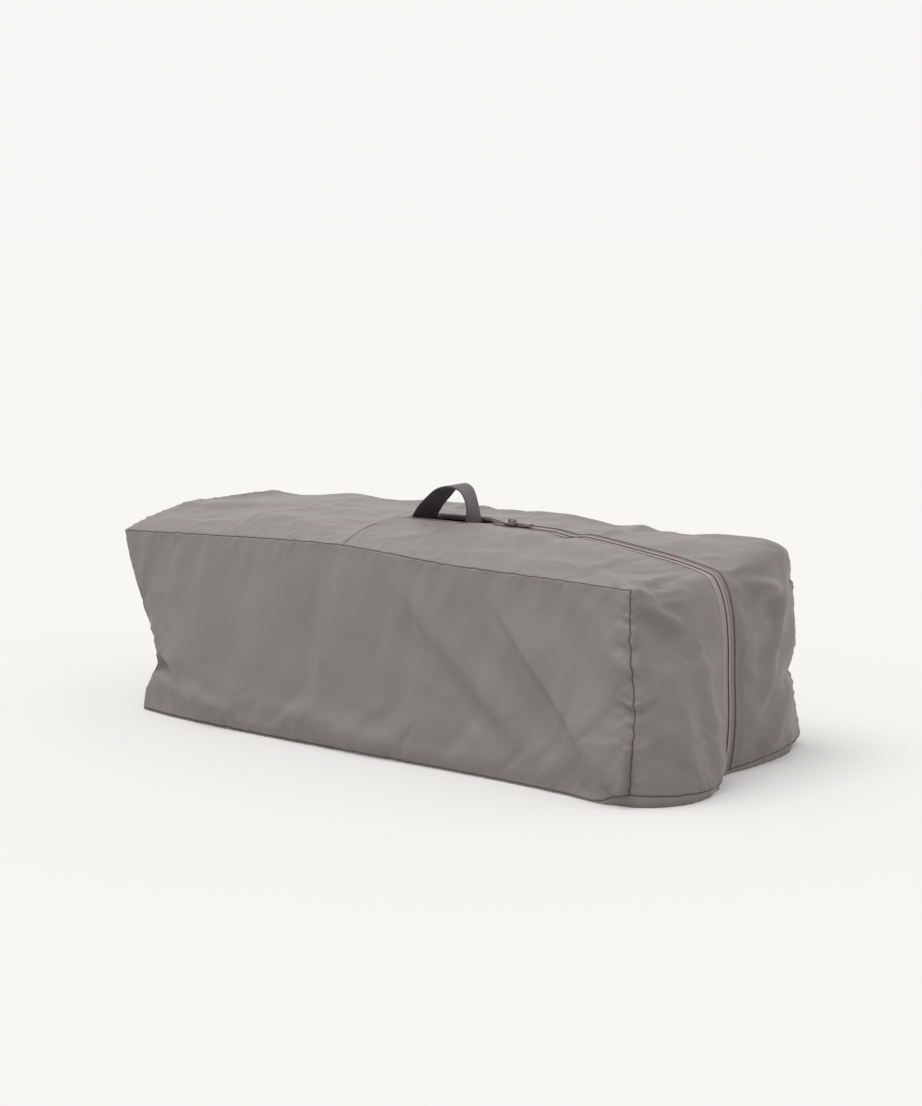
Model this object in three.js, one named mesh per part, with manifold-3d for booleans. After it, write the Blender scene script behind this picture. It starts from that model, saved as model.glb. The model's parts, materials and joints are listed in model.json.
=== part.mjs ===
// A travel playpen, folded and packed in its zipped carry bag.
// Millimetres. X runs along the bag, -Y is its front, Z is up and the floor is z = 0.
// The frame lies folded along X, wrapped in its four-panel mattress, inside the bag. The
// bag's zip starts at a cross seam on top, where the mattress handle comes out, runs
// along the top to the right-hand end and goes down that end.
import * as THREE from 'three';
import { mergeVertices } from 'three/addons/utils/BufferGeometryUtils.js';
import Module from 'manifold-3d';

const wasm = await Module();
wasm.setup();

// ---- driving dimensions -------------------------------------------------------------

const GAP = 0.3; // clearance between pieces that touch

const bag = {
  length: 770,
  width: 344,
  seamHeight: 218, // the seam between the sides and the top
  shoulderHalf: 124, // half-width of the part of the top that lies on the pack
  shoulderHeight: 243.5,
  crestHeight: 248,
  slopeX: 85, // the top falls gently from here to the right-hand end
  slopeDrop: 17,
  cornerRadius: 30, // where the gusset turns from the top to the right-hand end
  cloth: 2, // padded cloth with its lining
};

const zip = {
  startX: -66, // the cross seam
  flapEndX: 340, // past here the zip stays with the end of the bag
  slotHalf: 21, // half-width of the gap that the handle comes out of
  slotEndX: 40,
  meetX: 74, // the two tapes have come together here
  halfGap: 0.8,
  tapeWidth: 16,
  tapeDepth: 1.2, // below the bag's outer face
  tapeThickness: 1.4,
  coilWidth: 2.4,
  coilDepth: 0.4,
  coilThickness: 2.8,
};

// Heights of the slider and its tab are counted from the bag's outer face.
const slider = {
  x: 84,
  length: 17,
  width: 12,
  plate: 1.8,
  top: 2.1,
  bottom: -5.6,
  postInset: 1.5, // from the slider's left end to the post between the coil halves
  postLength: 5,
  bridgeLeft: -4,
  bridgeRight: 5,
  bridgeTop: 4.8, // underside of the bridge that holds the tab
  bridgeLeg: 1.6,
};
const tab = { pivotX: 1.5, pivotZ: 3.3, bar: 0.8, endX: 28, half: 4.5, windowEndX: 8, windowHalf: 2.4 };

const handle = {
  left: -61,
  right: 30,
  footZ: 236,
  springZ: 250, // the arch springs from the two straight legs here
  apexZ: 287,
  web: 2.5,
  width: 38,
  baseTop: 230,
  baseLeft: -75,
  baseRight: 45,
};

const pack = {
  shiftX: -10, // the bundle lies a little to the left in its bag
  centreZ: 116,
  half: 112, // half the side of the square bundle
  halfLength: 345,
  mattress: 18,
  wallOuter: 92,
  wallInner: 89,
  wallInset: 5, // the side walls end this far from the caps and the feet
};

const straps = { left: -215, right: 215, halfWidth: 19, thickness: 1.2, cornerRadius: 4 };

const frame = {
  post: 71, // distance of each post's axis from the middle of the bundle
  postRadius: 13,
  capEndX: -335,
  capX: -285,
  footX: 300,
  footEndX: 335,
  railOffset: 72,
  railAtCap: 44,
  railAtLatch: 15,
  railRadius: 8,
  longRailEndX: 165,
  shortRailEndX: 45,
  latchLength: 32,
  tubeAtFoot: 46,
  tubeAtHub: 17,
  tubeRadius: 7,
  hubX: -263,
  hubThickness: 37,
  hubRadius: 30,
  wall: 1.2, // steel tube wall
  blockHalf: 14, // half the side of a cap's or a foot's block
  lugHalf: 10, // half the thickness of the lugs that hold the rails
  lugSetback: 15, // the lugs start this far from the cap's end
  tubeLugHalf: 8,
  tubeLugLength: 12,
};

// The pull loop of the floor hub, a flat band bent to half an ellipse.
const pullLoop = { reach: 27, half: 20, web: 2, halfHeight: 10 };

const wheel = { x: 331, y: 71, inner: 44, outer: 56.5, radius: 15, bore: 4.12, axle: 4 };
const latch = { halfWidth: 25, halfDepth: 10 };
const button = { length: 16, width: 12, play: 0.4, pocketFloor: 74, foot: 77.5, head: 85.5 };

// ---- materials ----------------------------------------------------------------------

function material(color, roughness, metalness = 0) {
  return new THREE.MeshStandardMaterial({ color, roughness, metalness });
}

const greyCloth = material(0x8a8583, 0.75);
const topCloth = material(0x9a9592, 0.72);
const mauveTape = material(0x807476, 0.8);
const nickel = material(0xa3a09c, 0.35, 0.9);
const darkWebbing = material(0x3b3635, 0.85);
const mattressCloth = material(0xa39d98, 0.85);
const netCloth = material(0x55504e, 0.9);
const steelTube = material(0x4a4a4c, 0.45, 0.6);
const darkPlastic = material(0x2f2e2f, 0.55);
const redPlastic = material(0x9c3a34, 0.5);
const wheelPlastic = material(0x232323, 0.65);

// ---- solids -------------------------------------------------------------------------

const playpen = new THREE.Group();
const bundle = new THREE.Group();
bundle.position.x = pack.shiftX;
playpen.add(bundle);

function toSolid(geometry) {
  geometry.deleteAttribute('normal');
  geometry.deleteAttribute('uv');
  const merged = mergeVertices(geometry, 1e-4);
  return new wasm.Manifold(new wasm.Mesh({
    numProp: 3,
    vertProperties: new Float32Array(merged.attributes.position.array),
    triVerts: new Uint32Array(merged.index.array),
  }));
}

function toGeometry(solid) {
  const mesh = solid.getMesh();
  const geometry = new THREE.BufferGeometry();
  geometry.setAttribute('position', new THREE.BufferAttribute(mesh.vertProperties, 3));
  geometry.setIndex(new THREE.BufferAttribute(mesh.triVerts, 1));
  geometry.computeVertexNormals();
  return geometry;
}

function add(name, shape, surface, group = playpen) {
  const geometry = shape.isBufferGeometry ? shape : toGeometry(shape);
  const mesh = new THREE.Mesh(geometry, surface);
  mesh.name = name;
  group.add(mesh);
  return mesh;
}

// A piece of the folded playpen, placed with its origin in the middle of the bundle's length.
function addToBundle(name, shape, surface) {
  return add(name, shape, surface, bundle);
}

// A box between two values on each axis, given in either order.
function box([x0, x1], [y0, y1], [z0, z1]) {
  const size = [Math.abs(x1 - x0), Math.abs(y1 - y0), Math.abs(z1 - z0)];
  const geometry = new THREE.BoxGeometry(...size);
  return geometry.translate((x0 + x1) / 2, (y0 + y1) / 2, (z0 + z1) / 2);
}

function extrude(shape, depth, curveSegments = 8) {
  return new THREE.ExtrudeGeometry(shape, { depth, bevelEnabled: false, curveSegments });
}

// An outline in (y, z), extruded along X.
function extrudeX(shape, x0, x1, curveSegments) {
  const turn = new THREE.Matrix4().makeBasis(
    new THREE.Vector3(0, 1, 0), new THREE.Vector3(0, 0, 1), new THREE.Vector3(1, 0, 0));
  return extrude(shape, x1 - x0, curveSegments).applyMatrix4(turn).translate(x0, 0, 0);
}

// An outline in (x, z), extruded along Y.
function extrudeY(shape, y0, y1, curveSegments) {
  const turn = new THREE.Matrix4().makeBasis(
    new THREE.Vector3(1, 0, 0), new THREE.Vector3(0, 0, 1), new THREE.Vector3(0, -1, 0));
  return extrude(shape, y1 - y0, curveSegments).applyMatrix4(turn).translate(0, y1, 0);
}

// An outline in (x, y), extruded along Z.
function extrudeZ(shape, z0, z1) {
  return extrude(shape, z1 - z0).translate(0, 0, z0);
}

function outline(points) {
  return new THREE.Shape(points.map(([a, b]) => new THREE.Vector2(a, b)));
}

function roundedRectangle(a0, a1, b0, b1, radius) {
  const shape = new THREE.Shape();
  shape.absarc(a1 - radius, b0 + radius, radius, -Math.PI / 2, 0);
  shape.absarc(a1 - radius, b1 - radius, radius, 0, Math.PI / 2);
  shape.absarc(a0 + radius, b1 - radius, radius, Math.PI / 2, Math.PI);
  shape.absarc(a0 + radius, b0 + radius, radius, Math.PI, 1.5 * Math.PI);
  return shape;
}

// A square tube's outline, seen along X, centred on the bundle.
function squareRing(outer, inner, radius) {
  const shape = roundedRectangle(-outer, outer, -outer, outer, radius);
  const hollow = roundedRectangle(-inner, inner, -inner, inner, radius - (outer - inner));
  shape.holes.push(new THREE.Path(hollow.getPoints(4)));
  return shape;
}

// A round tube, open at both ends, from one point to another.
function tubeBetween(start, end, radius, wall, sides = 16) {
  const from = new THREE.Vector3(...start);
  const along = new THREE.Vector3(...end).sub(from);
  const length = along.length();
  const inner = radius - wall;
  const profile = [[inner, 0], [radius, 0], [radius, length], [inner, length], [inner, 0]];
  const geometry = new THREE.LatheGeometry(
    profile.map(([r, h]) => new THREE.Vector2(r, h)), sides);
  const turn = new THREE.Quaternion().setFromUnitVectors(
    new THREE.Vector3(0, 1, 0), along.normalize());
  return geometry.applyQuaternion(turn).translate(...start);
}

// ---- the bag ------------------------------------------------------------------------

const halfLength = bag.length / 2;
const halfWidth = bag.width / 2;
const cornerX = halfLength - bag.cornerRadius;
const slope = bag.slopeDrop / (zip.flapEndX - bag.slopeX);

// Height of the bag's crest, which is level on the left and falls to the right.
function crestAt(x) {
  return bag.crestHeight - slope * Math.max(0, x - bag.slopeX);
}

// The volume inside the bag's outer face, or inside a face that lies `inset` within it.
function bagVolume(inset) {
  const half = halfWidth - inset;
  const shoulder = bag.shoulderHeight - inset;
  const crest = bag.crestHeight - inset;
  const section = new THREE.Shape();
  section.moveTo(-half, inset);
  section.lineTo(half, inset);
  section.lineTo(half, bag.seamHeight);
  section.lineTo(bag.shoulderHalf, shoulder);
  section.quadraticCurveTo(0, 2 * crest - shoulder, -bag.shoulderHalf, shoulder);
  section.lineTo(-half, bag.seamHeight);
  section.closePath();

  const end = halfLength - inset;
  const above = bag.crestHeight + 12;
  const side = new THREE.Shape();
  side.moveTo(-end, -5);
  side.lineTo(end, -5);
  side.absarc(cornerX, crestAt(cornerX) - bag.cornerRadius,
    bag.cornerRadius - inset, 0, Math.PI / 2);
  side.lineTo(bag.slopeX, crest);
  side.lineTo(bag.slopeX, above);
  side.lineTo(-end, above);
  side.closePath();

  const alongX = toSolid(extrudeX(section, -halfLength, halfLength, 12));
  const alongY = toSolid(extrudeY(side, -halfWidth, halfWidth, 8));
  return alongX.intersect(alongY);
}

const bagShell = bagVolume(0).subtract(bagVolume(bag.cloth));
const aboveTop = bag.crestHeight + 12;
const belowSeam = bag.seamHeight - GAP / 2;
const aboveSeam = bag.seamHeight + GAP / 2;
const tapeEdge = zip.halfGap + zip.tapeWidth + GAP;

function cutFromShell(x, y, z) {
  return bagShell.intersect(toSolid(box(x, y, z)));
}

function addPlainPanels() {
  const floorTop = bag.cloth + GAP;
  const wallEnd = halfLength - bag.cloth - 2 * GAP;
  const wallZ = [floorTop, belowSeam];
  const length = [-halfLength - 1, wallEnd];
  const inner = halfWidth - bag.cloth;
  add('bottom_panel',
    box([-halfLength, halfLength], [-halfWidth, halfWidth], [0, bag.cloth]), greyCloth);
  add('front_panel', cutFromShell(length, [-halfWidth - 1, -inner], wallZ), greyCloth);
  add('back_panel', cutFromShell(length, [inner, halfWidth + 1], wallZ), greyCloth);
  const between = halfWidth - bag.cloth - GAP;
  add('left_end_panel',
    box([-halfLength, bag.cloth - halfLength], [-between, between], wallZ), greyCloth);
  const toCrossSeam = [-halfLength - 1, zip.startX - GAP / 2];
  add('top_left_panel',
    cutFromShell(toCrossSeam, [-halfWidth - 1, halfWidth + 1], [aboveSeam, aboveTop]), topCloth);
}

// The right-hand end: each gusset half comes over the corner from the top and goes down.
function addEndGusset(name, sign) {
  const inside = halfLength - bag.cloth - 0.1;
  const start = zip.flapEndX + GAP / 2;
  const floorTop = bag.cloth + GAP;
  const region = outline([
    [inside, floorTop], [halfLength + 1, floorTop], [halfLength + 1, aboveTop],
    [start, aboveTop], [start, aboveSeam], [inside, aboveSeam]]);
  const near = sign * tapeEdge;
  const far = sign * (halfWidth + 1);
  const betweenPanels = [near, sign * (halfWidth - bag.cloth - GAP)];
  const turn = [crestAt(cornerX) - bag.cornerRadius - 1, aboveSeam + 1];
  const cutter = toSolid(extrudeY(region, Math.min(near, far), Math.max(near, far)));
  const corner = toSolid(box([cornerX, halfLength + 1], betweenPanels, turn));
  add(name, bagShell.intersect(cutter.add(corner)), greyCloth);
}

// A strip, seen along Y, that follows the top and the right-hand end below their surface.
function endStrip(depth, thickness) {
  const cornerZ = crestAt(cornerX) - bag.cornerRadius;
  const start = zip.flapEndX + GAP / 2;
  const bottom = bag.cloth + GAP;
  const inner = depth + thickness;
  const shape = new THREE.Shape();
  shape.moveTo(halfLength - depth, bottom);
  shape.absarc(cornerX, cornerZ, bag.cornerRadius - depth, 0, Math.PI / 2, false);
  shape.lineTo(start, crestAt(start) - depth);
  shape.lineTo(start, crestAt(start) - inner);
  shape.absarc(cornerX, cornerZ, bag.cornerRadius - inner, Math.PI / 2, 0, true);
  shape.lineTo(halfLength - inner, bottom);
  shape.closePath();
  return shape;
}

function addEndTape(name, sign) {
  const band = (width) => {
    const ys = [sign * zip.halfGap, sign * (zip.halfGap + width)];
    return [Math.min(...ys), Math.max(...ys)];
  };
  const tape = endStrip(zip.tapeDepth, zip.tapeThickness);
  const coil = endStrip(zip.coilDepth, zip.coilThickness);
  const tapeSolid = toSolid(extrudeY(tape, ...band(zip.tapeWidth)));
  const coilSolid = toSolid(extrudeY(coil, ...band(zip.coilWidth)));
  add(name, tapeSolid.add(coilSolid), mauveTape);
}

// ---- the opening top ----------------------------------------------------------------

// Distance from the middle of the zip to the edge of a tape: wide at the handle.
function coilEdge(x) {
  const t = THREE.MathUtils.smoothstep(x, zip.slotEndX, zip.meetX);
  return THREE.MathUtils.lerp(zip.slotHalf, zip.halfGap, t);
}

// The plan of a strip of the given width beside the tape's edge, from x0 to x1.
function besideZip(sign, from, to, x0, x1) {
  const curveSteps = 8;
  const xs = [x0];
  for (let i = 0; i <= curveSteps; i += 1) {
    xs.push(THREE.MathUtils.lerp(zip.slotEndX, zip.meetX, i / curveSteps));
  }
  xs.push(x1);
  const near = xs.map((x) => [x, sign * (coilEdge(x) + from)]);
  const far = xs.map((x) => [x, sign * (coilEdge(x) + to)]).reverse();
  const points = near.concat(far);
  return outline(sign < 0 ? points.reverse() : points);
}

// A strip of the top, seen along Y, that follows the crest below its surface.
function topStrip(x0, x1, depth, thickness) {
  const xs = [x0, bag.slopeX, x1];
  const upper = xs.map((x) => [x, crestAt(x) - depth]);
  const lower = xs.map((x) => [x, crestAt(x) - depth - thickness]).reverse();
  return outline(lower.concat(upper));
}

// The part of a strip of the top that lies beside the zip's middle, over the given width.
function stripBesideZip(sign, width, x0, x1, depth, thickness) {
  const reach = zip.slotHalf + width + 1;
  const plan = toSolid(extrudeZ(besideZip(sign, 0, width, x0, x1), 0, aboveTop));
  const strip = topStrip(x0 - 1, x1 + 1, depth, thickness);
  return toSolid(extrudeY(strip, -reach, reach)).intersect(plan);
}

function addFlap(flapName, tapeName, sign) {
  const x0 = zip.startX + GAP / 2;
  const x1 = zip.flapEndX - GAP / 2;
  const y = [0, sign * (halfWidth + 1)];
  const corridor = besideZip(sign, -zip.slotHalf - 1, zip.tapeWidth + GAP, x0 - 1, x1 + 1);
  const cutter = toSolid(extrudeZ(corridor, bag.seamHeight, aboveTop + 1));
  const flap = cutFromShell([x0, x1], y, [aboveSeam, aboveTop]).subtract(cutter);
  add(flapName, flap, greyCloth);

  const tape = stripBesideZip(sign, zip.tapeWidth, x0, x1, zip.tapeDepth, zip.tapeThickness);
  const coil = stripBesideZip(sign, zip.coilWidth, x0, x1, zip.coilDepth, zip.coilThickness);
  add(tapeName, tape.add(coil), mauveTape);
}

// The slider and its tab are drawn level and then laid on the sloping zip.
const onZip = new THREE.Group();
onZip.position.set(slider.x, 0, crestAt(slider.x));
onZip.rotation.y = Math.atan(slope);
playpen.add(onZip);

// Two plates around the coil, the post that parts its halves, and a bridge for the tab.
function addSlider() {
  const length = [-slider.length / 2, slider.length / 2];
  const width = [-slider.width / 2, slider.width / 2];
  const postStart = length[0] + slider.postInset;
  const postX = [postStart, postStart + slider.postLength];
  const postZ = [slider.bottom + slider.plate / 2, slider.top - slider.plate / 2];
  const postHalf = zip.halfGap - GAP;
  const top = toSolid(box(length, width, [slider.top - slider.plate, slider.top]));
  const bottom = toSolid(box(length, width, [slider.bottom, slider.bottom + slider.plate]));
  const post = toSolid(box(postX, [-postHalf, postHalf], postZ));
  const foot = slider.top - slider.plate / 2;
  const { bridgeLeft: x0, bridgeRight: x1, bridgeTop, bridgeLeg: leg } = slider;
  const bridge = outline([
    [x0, foot], [x0 + leg, foot], [x0 + leg, bridgeTop], [x1 - leg, bridgeTop],
    [x1 - leg, foot], [x1, foot], [x1, bridgeTop + leg], [x0, bridgeTop + leg]]);
  const crown = toSolid(extrudeY(bridge, -leg, leg));
  add('zip_slider', top.add(bottom).add(post).add(crown), nickel, onZip);
}

function addPullTab() {
  const { pivotX, pivotZ, bar, endX, half, windowEndX, windowHalf } = tab;
  const plate = roundedRectangle(pivotX - bar, endX, -half, half, bar - 0.1);
  const hole = outline([
    [pivotX + bar, -windowHalf], [windowEndX, -windowHalf],
    [windowEndX, windowHalf], [pivotX + bar, windowHalf]]);
  plate.holes.push(new THREE.Path(hole.getPoints()));
  add('pull_tab', extrudeZ(plate, pivotZ - bar, pivotZ + bar), nickel, onZip);
}

// ---- the handle ---------------------------------------------------------------------

function addCarryHandle() {
  const { left, right, footZ, springZ, apexZ, web, width } = handle;
  const middle = (left + right) / 2;
  const span = (right - left) / 2;
  const rise = apexZ - springZ;
  const arch = new THREE.Shape();
  arch.moveTo(left, footZ);
  arch.absellipse(middle, springZ, span, rise, Math.PI, 0, true);
  arch.lineTo(right, footZ);
  arch.lineTo(right - web, footZ);
  arch.absellipse(middle, springZ, span - web, rise - web, 0, Math.PI, false);
  arch.lineTo(left + web, footZ);
  arch.closePath();
  add('carry_handle', extrudeY(arch, -width / 2, width / 2, 10), darkWebbing);
  const mattressTop = pack.centreZ + pack.half + GAP;
  const base = box(
    [handle.baseLeft, handle.baseRight], [-width / 2, width / 2], [mattressTop, handle.baseTop]);
  add('handle_base', base, darkWebbing);
}

// ---- the bundle: mattress, straps and gathered side walls ---------------------------

// Four panels stand around the folded frame, each beside the end of the next.
function addMattress() {
  const { half, mattress, halfLength: reach, centreZ } = pack;
  const sides = ['top', 'front', 'bottom', 'rear'];
  sides.forEach((side, i) => {
    const section = roundedRectangle(-half, half - mattress - GAP, half - mattress, half, 5);
    const panel = addToBundle(`mattress_panel_${side}`,
      extrudeX(section, -reach, reach, 3), mattressCloth);
    panel.rotation.x = (i * Math.PI) / 2;
    panel.position.z = centreZ;
  });
}

function addStraps() {
  const inner = pack.half + GAP;
  const { halfWidth: reach, thickness, cornerRadius } = straps;
  for (const side of ['left', 'right']) {
    const ring = squareRing(inner + thickness, inner, cornerRadius);
    const strap = extrudeX(ring, straps[side] - reach, straps[side] + reach, 4);
    const mesh = addToBundle(`wrap_strap_${side}`, strap, darkWebbing);
    mesh.position.z = pack.centreZ;
  }
}

function addSideWalls() {
  const ring = squareRing(pack.wallOuter, pack.wallInner, 8);
  const mesh = addToBundle('folded_side_walls',
    extrudeX(ring, frame.capX + pack.wallInset, frame.footX - pack.wallInset, 4), netCloth);
  mesh.position.z = pack.centreZ;
}

// ---- the folded frame ---------------------------------------------------------------

const corners = [];
for (const [depthName, y] of [['front', -1], ['rear', 1]]) {
  for (const [levelName, z] of [['lower', -1], ['upper', 1]]) {
    corners.push({ name: `${depthName}_${levelName}`, y, z });
  }
}

// A box in one corner of the bundle, its y and z ranges counted from the middle outwards.
function cornerBox(corner, x, y, z) {
  return toSolid(box(
    x,
    y.map((value) => corner.y * value),
    z.map((value) => pack.centreZ + corner.z * value)));
}

function addPost(corner) {
  const y = corner.y * frame.post;
  const z = pack.centreZ + corner.z * frame.post;
  const post = tubeBetween(
    [frame.capX + GAP, y, z], [frame.footX - GAP, y, z], frame.postRadius, frame.wall);
  addToBundle(`corner_post_${corner.name}`, post, steelTube);
}

const blockSpan = [frame.post - frame.blockHalf, frame.post + frame.blockHalf];
const lugEnd = blockSpan[0] + 1; // the lugs run a little way into their block

function addCap(corner) {
  const lugX = [frame.capEndX + frame.lugSetback, frame.capX];
  const railSpan = [frame.railOffset - frame.lugHalf, frame.railOffset + frame.lugHalf];
  const lugSpan = [frame.railAtCap - frame.lugHalf, lugEnd];
  const block = cornerBox(corner, [frame.capEndX, frame.capX], blockSpan, blockSpan);
  const longLug = cornerBox(corner, lugX, lugSpan, railSpan);
  const shortLug = cornerBox(corner, lugX, railSpan, lugSpan);
  addToBundle(`corner_cap_${corner.name}`, block.add(longLug).add(shortLug), darkPlastic);
}

function addFoot(corner) {
  const lugSpan = [frame.tubeAtFoot - frame.tubeLugHalf, lugEnd];
  const block = cornerBox(corner, [frame.footX, frame.footEndX], blockSpan, blockSpan);
  const lugX = [frame.footX, frame.footX + frame.tubeLugLength];
  const lug = cornerBox(corner, lugX, lugSpan, lugSpan);
  let foot = block.add(lug);
  if (corner.y > 0) {
    const reach = [wheel.inner - 2, frame.post - 10];
    const axle = new THREE.CylinderGeometry(wheel.axle, wheel.axle, reach[1] - reach[0], 24);
    axle.rotateX(Math.PI / 2);
    const middle = pack.centreZ + (corner.z * (reach[0] + reach[1])) / 2;
    foot = foot.add(toSolid(axle.translate(wheel.x, wheel.y, middle)));
  }
  addToBundle(`foot_${corner.name}`, foot, darkPlastic);
}

function addWheel(corner) {
  const half = (wheel.outer - wheel.inner) / 2;
  const profile = [
    [wheel.bore, -half], [wheel.radius - 3, -half], [wheel.radius, -half + 2],
    [wheel.radius, half - 2], [wheel.radius - 3, half], [wheel.bore, half],
    [wheel.bore, -half]];
  const geometry = new THREE.LatheGeometry(
    profile.map(([r, h]) => new THREE.Vector2(r, h)), 24);
  geometry.rotateX(Math.PI / 2);
  const middle = pack.centreZ + (corner.z * (wheel.inner + wheel.outer)) / 2;
  const mesh = addToBundle(`castor_wheel_${corner.name}`, geometry, wheelPlastic);
  mesh.position.set(wheel.x, wheel.y, middle);
}

// The halves of a top rail lie together along the bundle, from two caps to their latch.
function addHalfRails(corner) {
  const tilt = 0.7; // the slanting tube's end stays this far from the flat face it meets
  const { railAtCap, railAtLatch, railOffset, railRadius, wall } = frame;
  const place = (x, y, z) => [x, corner.y * y, pack.centreZ + corner.z * z];
  const start = frame.capX + GAP + tilt;
  const long = tubeBetween(
    place(start, railAtCap, railOffset),
    place(frame.longRailEndX - tilt, railAtLatch, railOffset), railRadius, wall);
  addToBundle(`long_half_rail_${corner.name}`, long, steelTube);
  const short = tubeBetween(
    place(start, railOffset, railAtCap),
    place(frame.shortRailEndX - tilt, railOffset, railAtLatch), railRadius, wall);
  addToBundle(`short_half_rail_${corner.name}`, short, steelTube);
}

// A latch joins two half rails. Its button stands out of it, away from the bundle's middle.
function latchPieces(x, isLong, sign) {
  const across = [-latch.halfWidth, latch.halfWidth];
  const depth = [frame.railOffset - latch.halfDepth, frame.railOffset + latch.halfDepth];
  const outward = (span) => span.map((value) => sign * value);
  const place = (xs, span, out) => (isLong
    ? box(xs, span, outward(out).map((value) => pack.centreZ + value))
    : box(xs, outward(out), span.map((value) => pack.centreZ + value)));
  const middle = x + frame.latchLength / 2;
  const span = (size) => [-size / 2, size / 2];
  const along = (size) => [middle - size / 2, middle + size / 2];
  const body = toSolid(place([x, x + frame.latchLength], across, depth));
  const pocket = toSolid(place(along(button.length), span(button.width),
    [button.pocketFloor, depth[1] + 1]));
  const push = place(along(button.length - 2 * button.play),
    span(button.width - 2 * button.play), [button.foot, button.head]);
  return { housing: body.subtract(pocket), push };
}

function addLatches() {
  const latches = [
    ['long_upper', frame.longRailEndX, true, 1], ['long_lower', frame.longRailEndX, true, -1],
    ['short_front', frame.shortRailEndX, false, -1], ['short_rear', frame.shortRailEndX, false, 1]];
  for (const [name, x, isLong, sign] of latches) {
    const { housing, push } = latchPieces(x + GAP, isLong, sign);
    addToBundle(`rail_latch_${name}`, housing, darkPlastic);
    addToBundle(`latch_button_${name}`, push, redPlastic);
  }
}

// The floor's four tubes lie from the feet to the hub, which is pulled up the bundle.
function addFloorTube(corner) {
  const tilt = 0.6;
  const place = (x, offset) => [x, corner.y * offset, pack.centreZ + corner.z * offset];
  const tube = tubeBetween(
    place(frame.footX - GAP - tilt, frame.tubeAtFoot),
    place(frame.hubX + GAP + tilt, frame.tubeAtHub), frame.tubeRadius, frame.wall, 12);
  addToBundle(`floor_tube_${corner.name}`, tube, steelTube);
}

function addHub() {
  const { hubX, hubThickness, hubRadius } = frame;
  const profile = [
    [0, 0], [hubRadius, 0], [hubRadius, hubThickness - 5], [hubRadius - 5, hubThickness],
    [0, hubThickness]];
  const hub = new THREE.LatheGeometry(
    profile.map(([r, h]) => new THREE.Vector2(r, h)), 24);
  hub.rotateZ(Math.PI / 2);
  const mesh = addToBundle('floor_hub', hub, darkPlastic);
  mesh.position.set(hubX, 0, pack.centreZ);

  const face = hubX - hubThickness - GAP;
  const { reach, half, web, halfHeight } = pullLoop;
  const loop = new THREE.Shape();
  loop.moveTo(face, half);
  loop.absellipse(face, 0, reach, half, Math.PI / 2, 1.5 * Math.PI, false);
  loop.lineTo(face, -half + web);
  loop.absellipse(face, 0, reach - web, half - web, 1.5 * Math.PI, Math.PI / 2, true);
  loop.closePath();
  const pull = addToBundle('hub_pull_loop', extrudeZ(loop, -halfHeight, halfHeight), redPlastic);
  pull.position.z = pack.centreZ;
}

// ---- assembly -----------------------------------------------------------------------

addPlainPanels();
addEndGusset('front_end_gusset', -1);
addEndGusset('rear_end_gusset', 1);
addEndTape('front_end_zip_tape', -1);
addEndTape('rear_end_zip_tape', 1);
addFlap('front_zip_flap', 'front_top_zip_tape', -1);
addFlap('rear_zip_flap', 'rear_top_zip_tape', 1);
addSlider();
addPullTab();
addCarryHandle();
addMattress();
addStraps();
addSideWalls();
for (const corner of corners) {
  addPost(corner);
  addCap(corner);
  addFoot(corner);
  addHalfRails(corner);
  addFloorTube(corner);
  if (corner.y > 0) addWheel(corner);
}
addLatches();
addHub();

export default playpen;
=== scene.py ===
import json
import math

import bpy
import numpy as np
from mathutils import Matrix, Vector, noise
from mathutils.kdtree import KDTree


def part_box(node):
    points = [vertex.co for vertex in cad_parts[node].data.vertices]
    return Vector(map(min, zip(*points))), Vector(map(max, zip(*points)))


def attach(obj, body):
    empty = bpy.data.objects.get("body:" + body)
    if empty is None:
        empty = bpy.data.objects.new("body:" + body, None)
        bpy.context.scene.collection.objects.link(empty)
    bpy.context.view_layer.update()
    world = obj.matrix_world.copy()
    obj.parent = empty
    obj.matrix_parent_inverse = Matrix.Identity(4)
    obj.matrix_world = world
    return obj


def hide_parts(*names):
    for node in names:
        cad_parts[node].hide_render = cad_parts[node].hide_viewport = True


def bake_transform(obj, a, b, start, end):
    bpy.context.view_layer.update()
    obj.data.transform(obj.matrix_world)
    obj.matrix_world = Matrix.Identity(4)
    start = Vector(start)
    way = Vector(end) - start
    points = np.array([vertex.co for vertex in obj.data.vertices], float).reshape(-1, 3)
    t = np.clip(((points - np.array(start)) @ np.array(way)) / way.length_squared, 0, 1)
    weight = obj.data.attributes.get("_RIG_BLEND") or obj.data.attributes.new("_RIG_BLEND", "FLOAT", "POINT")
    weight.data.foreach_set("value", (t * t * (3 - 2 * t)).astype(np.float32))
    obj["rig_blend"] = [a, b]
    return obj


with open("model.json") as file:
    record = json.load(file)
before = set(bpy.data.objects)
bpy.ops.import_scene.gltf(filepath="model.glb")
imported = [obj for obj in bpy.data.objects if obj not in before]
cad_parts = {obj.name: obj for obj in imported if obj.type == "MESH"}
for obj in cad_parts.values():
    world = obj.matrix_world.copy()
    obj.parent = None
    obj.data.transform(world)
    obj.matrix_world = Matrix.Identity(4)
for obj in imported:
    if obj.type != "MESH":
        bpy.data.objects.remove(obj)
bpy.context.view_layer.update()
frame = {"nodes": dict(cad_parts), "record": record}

# A folded travel playpen in its zipped carry bag. Metres, in the frame of the CAD model:
# X along the bag, -Y its front, Z up. The bag is one cloth surface, described by three
# shares: a from left to right, b from front (-1) to back (+1), and c from floor to top.

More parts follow.
